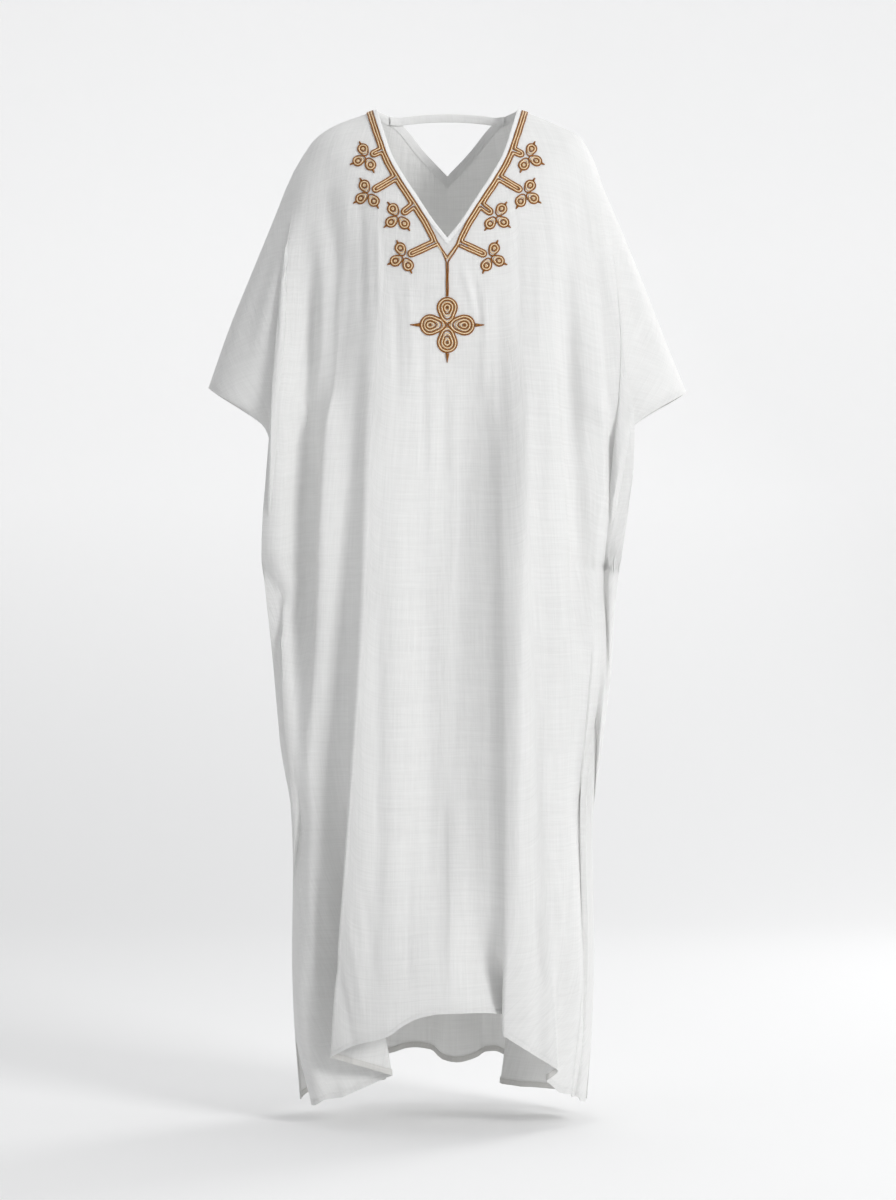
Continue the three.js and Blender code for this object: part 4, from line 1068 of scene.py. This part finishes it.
def eye(centre, angle, out, radius, draw, count):
    """A ring drawn in to a point toward a motif's centre, as x, z."""
    turn = np.arange(count) / count * 2 * math.pi
    off = np.angle(np.exp(1j * (turn - math.pi)))
    reach = radius * (1 + draw * np.exp(-((off / EYE_POINT) ** 2)))
    x = centre[0] + out * math.cos(angle) + reach * np.cos(angle + turn)
    return np.stack([x, centre[1] + out * math.sin(angle) + reach * np.sin(angle + turn)], 1)


def tip(centre, angle, start, stop):
    along = np.linspace(start, stop, TIP_POINTS)
    return np.stack([centre[0] + along * math.cos(angle), centre[1] + along * math.sin(angle)], 1)


for side in (-1, 1):
    for motif in MOTIFS:
        bar, centre, _ = bar_line(side, motif)
        toward = math.atan2(*(bar - centre)[::-1])
        for k in (1, 2, 3):
            angle = toward + k * math.pi / 2
            for radius, tone in TREFOIL_RINGS:
                draw = TREFOIL_DRAW * radius / TREFOIL_RINGS[0][0]
                count = max(int(radius * TREFOIL_POINTS), RING_LEAST)
                ring = eye(centre, angle, TREFOIL_OUT, radius, draw, count)
                add_cord("trefoils", laid(ring), tone, closed=True)
            point = tip(centre, angle, TREFOIL_TIP_FROM, TREFOIL_TIP)
            add_cord("trefoils", laid(point), "dark", radius=TIP_TAPER)

trefoils = cord_object("gold_trefoils", "trefoils")
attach(trefoils, "root")
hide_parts(*[f"gold_trefoil_{side}_{i}" for side in ("left", "right") for i in (1, 2, 3, 4)])

# ---------------------------------------------------------------- gold quatrefoil
# The stem ends in a larger motif of four pointed eyes, each of seven cords, with tapered tips on the free
# three.
PENDANT = (0, -301)
PENDANT_OUT = 23
PENDANT_TIP_FROM = 36.5
PENDANT_TIP = 50
PENDANT_DRAW = 0.66
PENDANT_POINTS = 4.5
PENDANT_RINGS = ((13.1, "dark"), (11.3, "pale"), (9.5, "dark"), (7.2, "pale"), (5.4, "dark"), (3.6, "pale"),
                 (1.7, "dark"))
PENDANT_TAPER = (2.6, 2.3, 1.8, 1.3, 0.9, 0.5)
for k in range(4):
    angle = k * math.pi / 2
    for radius, tone in PENDANT_RINGS:
        count = max(int(radius * PENDANT_POINTS), RING_LEAST)
        ring = eye(PENDANT, angle, PENDANT_OUT, radius, PENDANT_DRAW, count)
        add_cord("quatrefoil", laid(ring), tone, closed=True)
    if k != 1:
        point = tip(PENDANT, angle, PENDANT_TIP_FROM, PENDANT_TIP)
        add_cord("quatrefoil", laid(point), "dark", radius=PENDANT_TAPER)

quatrefoil = cord_object("gold_quatrefoil_cords", "quatrefoil")
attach(quatrefoil, "root")
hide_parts("gold_quatrefoil")

# ---------------------------------------------------------------- stage
# A pale seamless sweep a little below the hem, a large soft light at the right front, weaker ones behind, at
# the left and overhead, and even fill.
FLOOR_LEVEL = -1.372
GLOW_TOP = -0.4
SWEEP_HALF = 7
SWEEP_FRONT = -9
SWEEP_BACK = 2.6
SWEEP_BEND = 1.6
SWEEP_TOP = 5
SWEEP_PIECES = 24  # of its bend


def sweep_object():
    """The studio's floor, bent up without an edge into its back wall."""
    bend = [(SWEEP_BACK + SWEEP_BEND * math.sin(a), FLOOR_LEVEL + SWEEP_BEND * (1 - math.cos(a)))
            for a in np.linspace(0, math.pi / 2, SWEEP_PIECES + 1)]
    profile = [(SWEEP_FRONT, FLOOR_LEVEL), *bend, (bend[-1][0], SWEEP_TOP)]
    points = [(x, y, z) for y, z in profile for x in (-SWEEP_HALF, SWEEP_HALF)]
    faces = [(2 * i, 2 * i + 1, 2 * i + 3, 2 * i + 2) for i in range(len(profile) - 1)]
    mesh = bpy.data.meshes.new("studio_sweep")
    mesh.from_pydata(points, [], faces)
    mesh.shade_smooth()
    mesh.materials.append(paper_material())
    return place_object("studio_sweep", mesh)


def paper_material():
    """Matt white background paper that glows a little, and more toward the top, as under its own lamps."""
    material = new_material("background_paper")
    tree = material.node_tree
    place = add_node(tree, "ShaderNodeTexCoord").outputs["Object"]
    height = add_node(tree, "ShaderNodeSeparateXYZ", None, {0: place}).outputs[2]
    glow = add_node(tree, "ShaderNodeMapRange",
                    {"From Min": FLOOR_LEVEL, "From Max": GLOW_TOP, "To Min": 0.18, "To Max": 0.355},
                    {"Value": height}).outputs[0]
    paper = add_node(tree, "ShaderNodeBsdfPrincipled", {"Base Color": srgb("#DEDEDE"), "Roughness": 1.0,
                     "Specular IOR Level": 0.0, "Emission Color": srgb("#FFFFFF")}, {"Emission Strength": glow})
    add_node(tree, "ShaderNodeOutputMaterial", None, {"Surface": paper.outputs[0]})
    return material


def soft_light(name, place, target, size, power):
    lamp = bpy.data.lights.new(name, "AREA")
    lamp.shape, lamp.size, lamp.size_y, lamp.energy = "RECTANGLE", size, size, power
    light = place_object(name, lamp)
    light.location = place
    light.rotation_euler = (Vector(target) - Vector(place)).to_track_quat("-Z", "Y").to_euler()


sweep_object()
soft_light("window_light", (2.9, -3.1, 0.9), (0, 0, -0.65), 1.3, 104)
soft_light("rear_light", (2.3, 2.2, 0.6), (0, 0, -0.7), 1.2, 40)
soft_light("left_fill_light", (-2.7, -1.5, 0.1), (0, 0, -0.65), 1.4, 7)
soft_light("overhead_light", (0.1, 0.15, 2.0), (0, 0.05, -1.3), 1.2, 14)
world = bpy.data.worlds.new("studio_fill")
world.use_nodes = True
fill = world.node_tree.nodes["Background"].inputs
fill["Color"].default_value = srgb("#F7F8FA")
fill["Strength"].default_value = 0.425
bpy.context.scene.world = world
bpy.context.scene.view_settings.view_transform = "Standard"
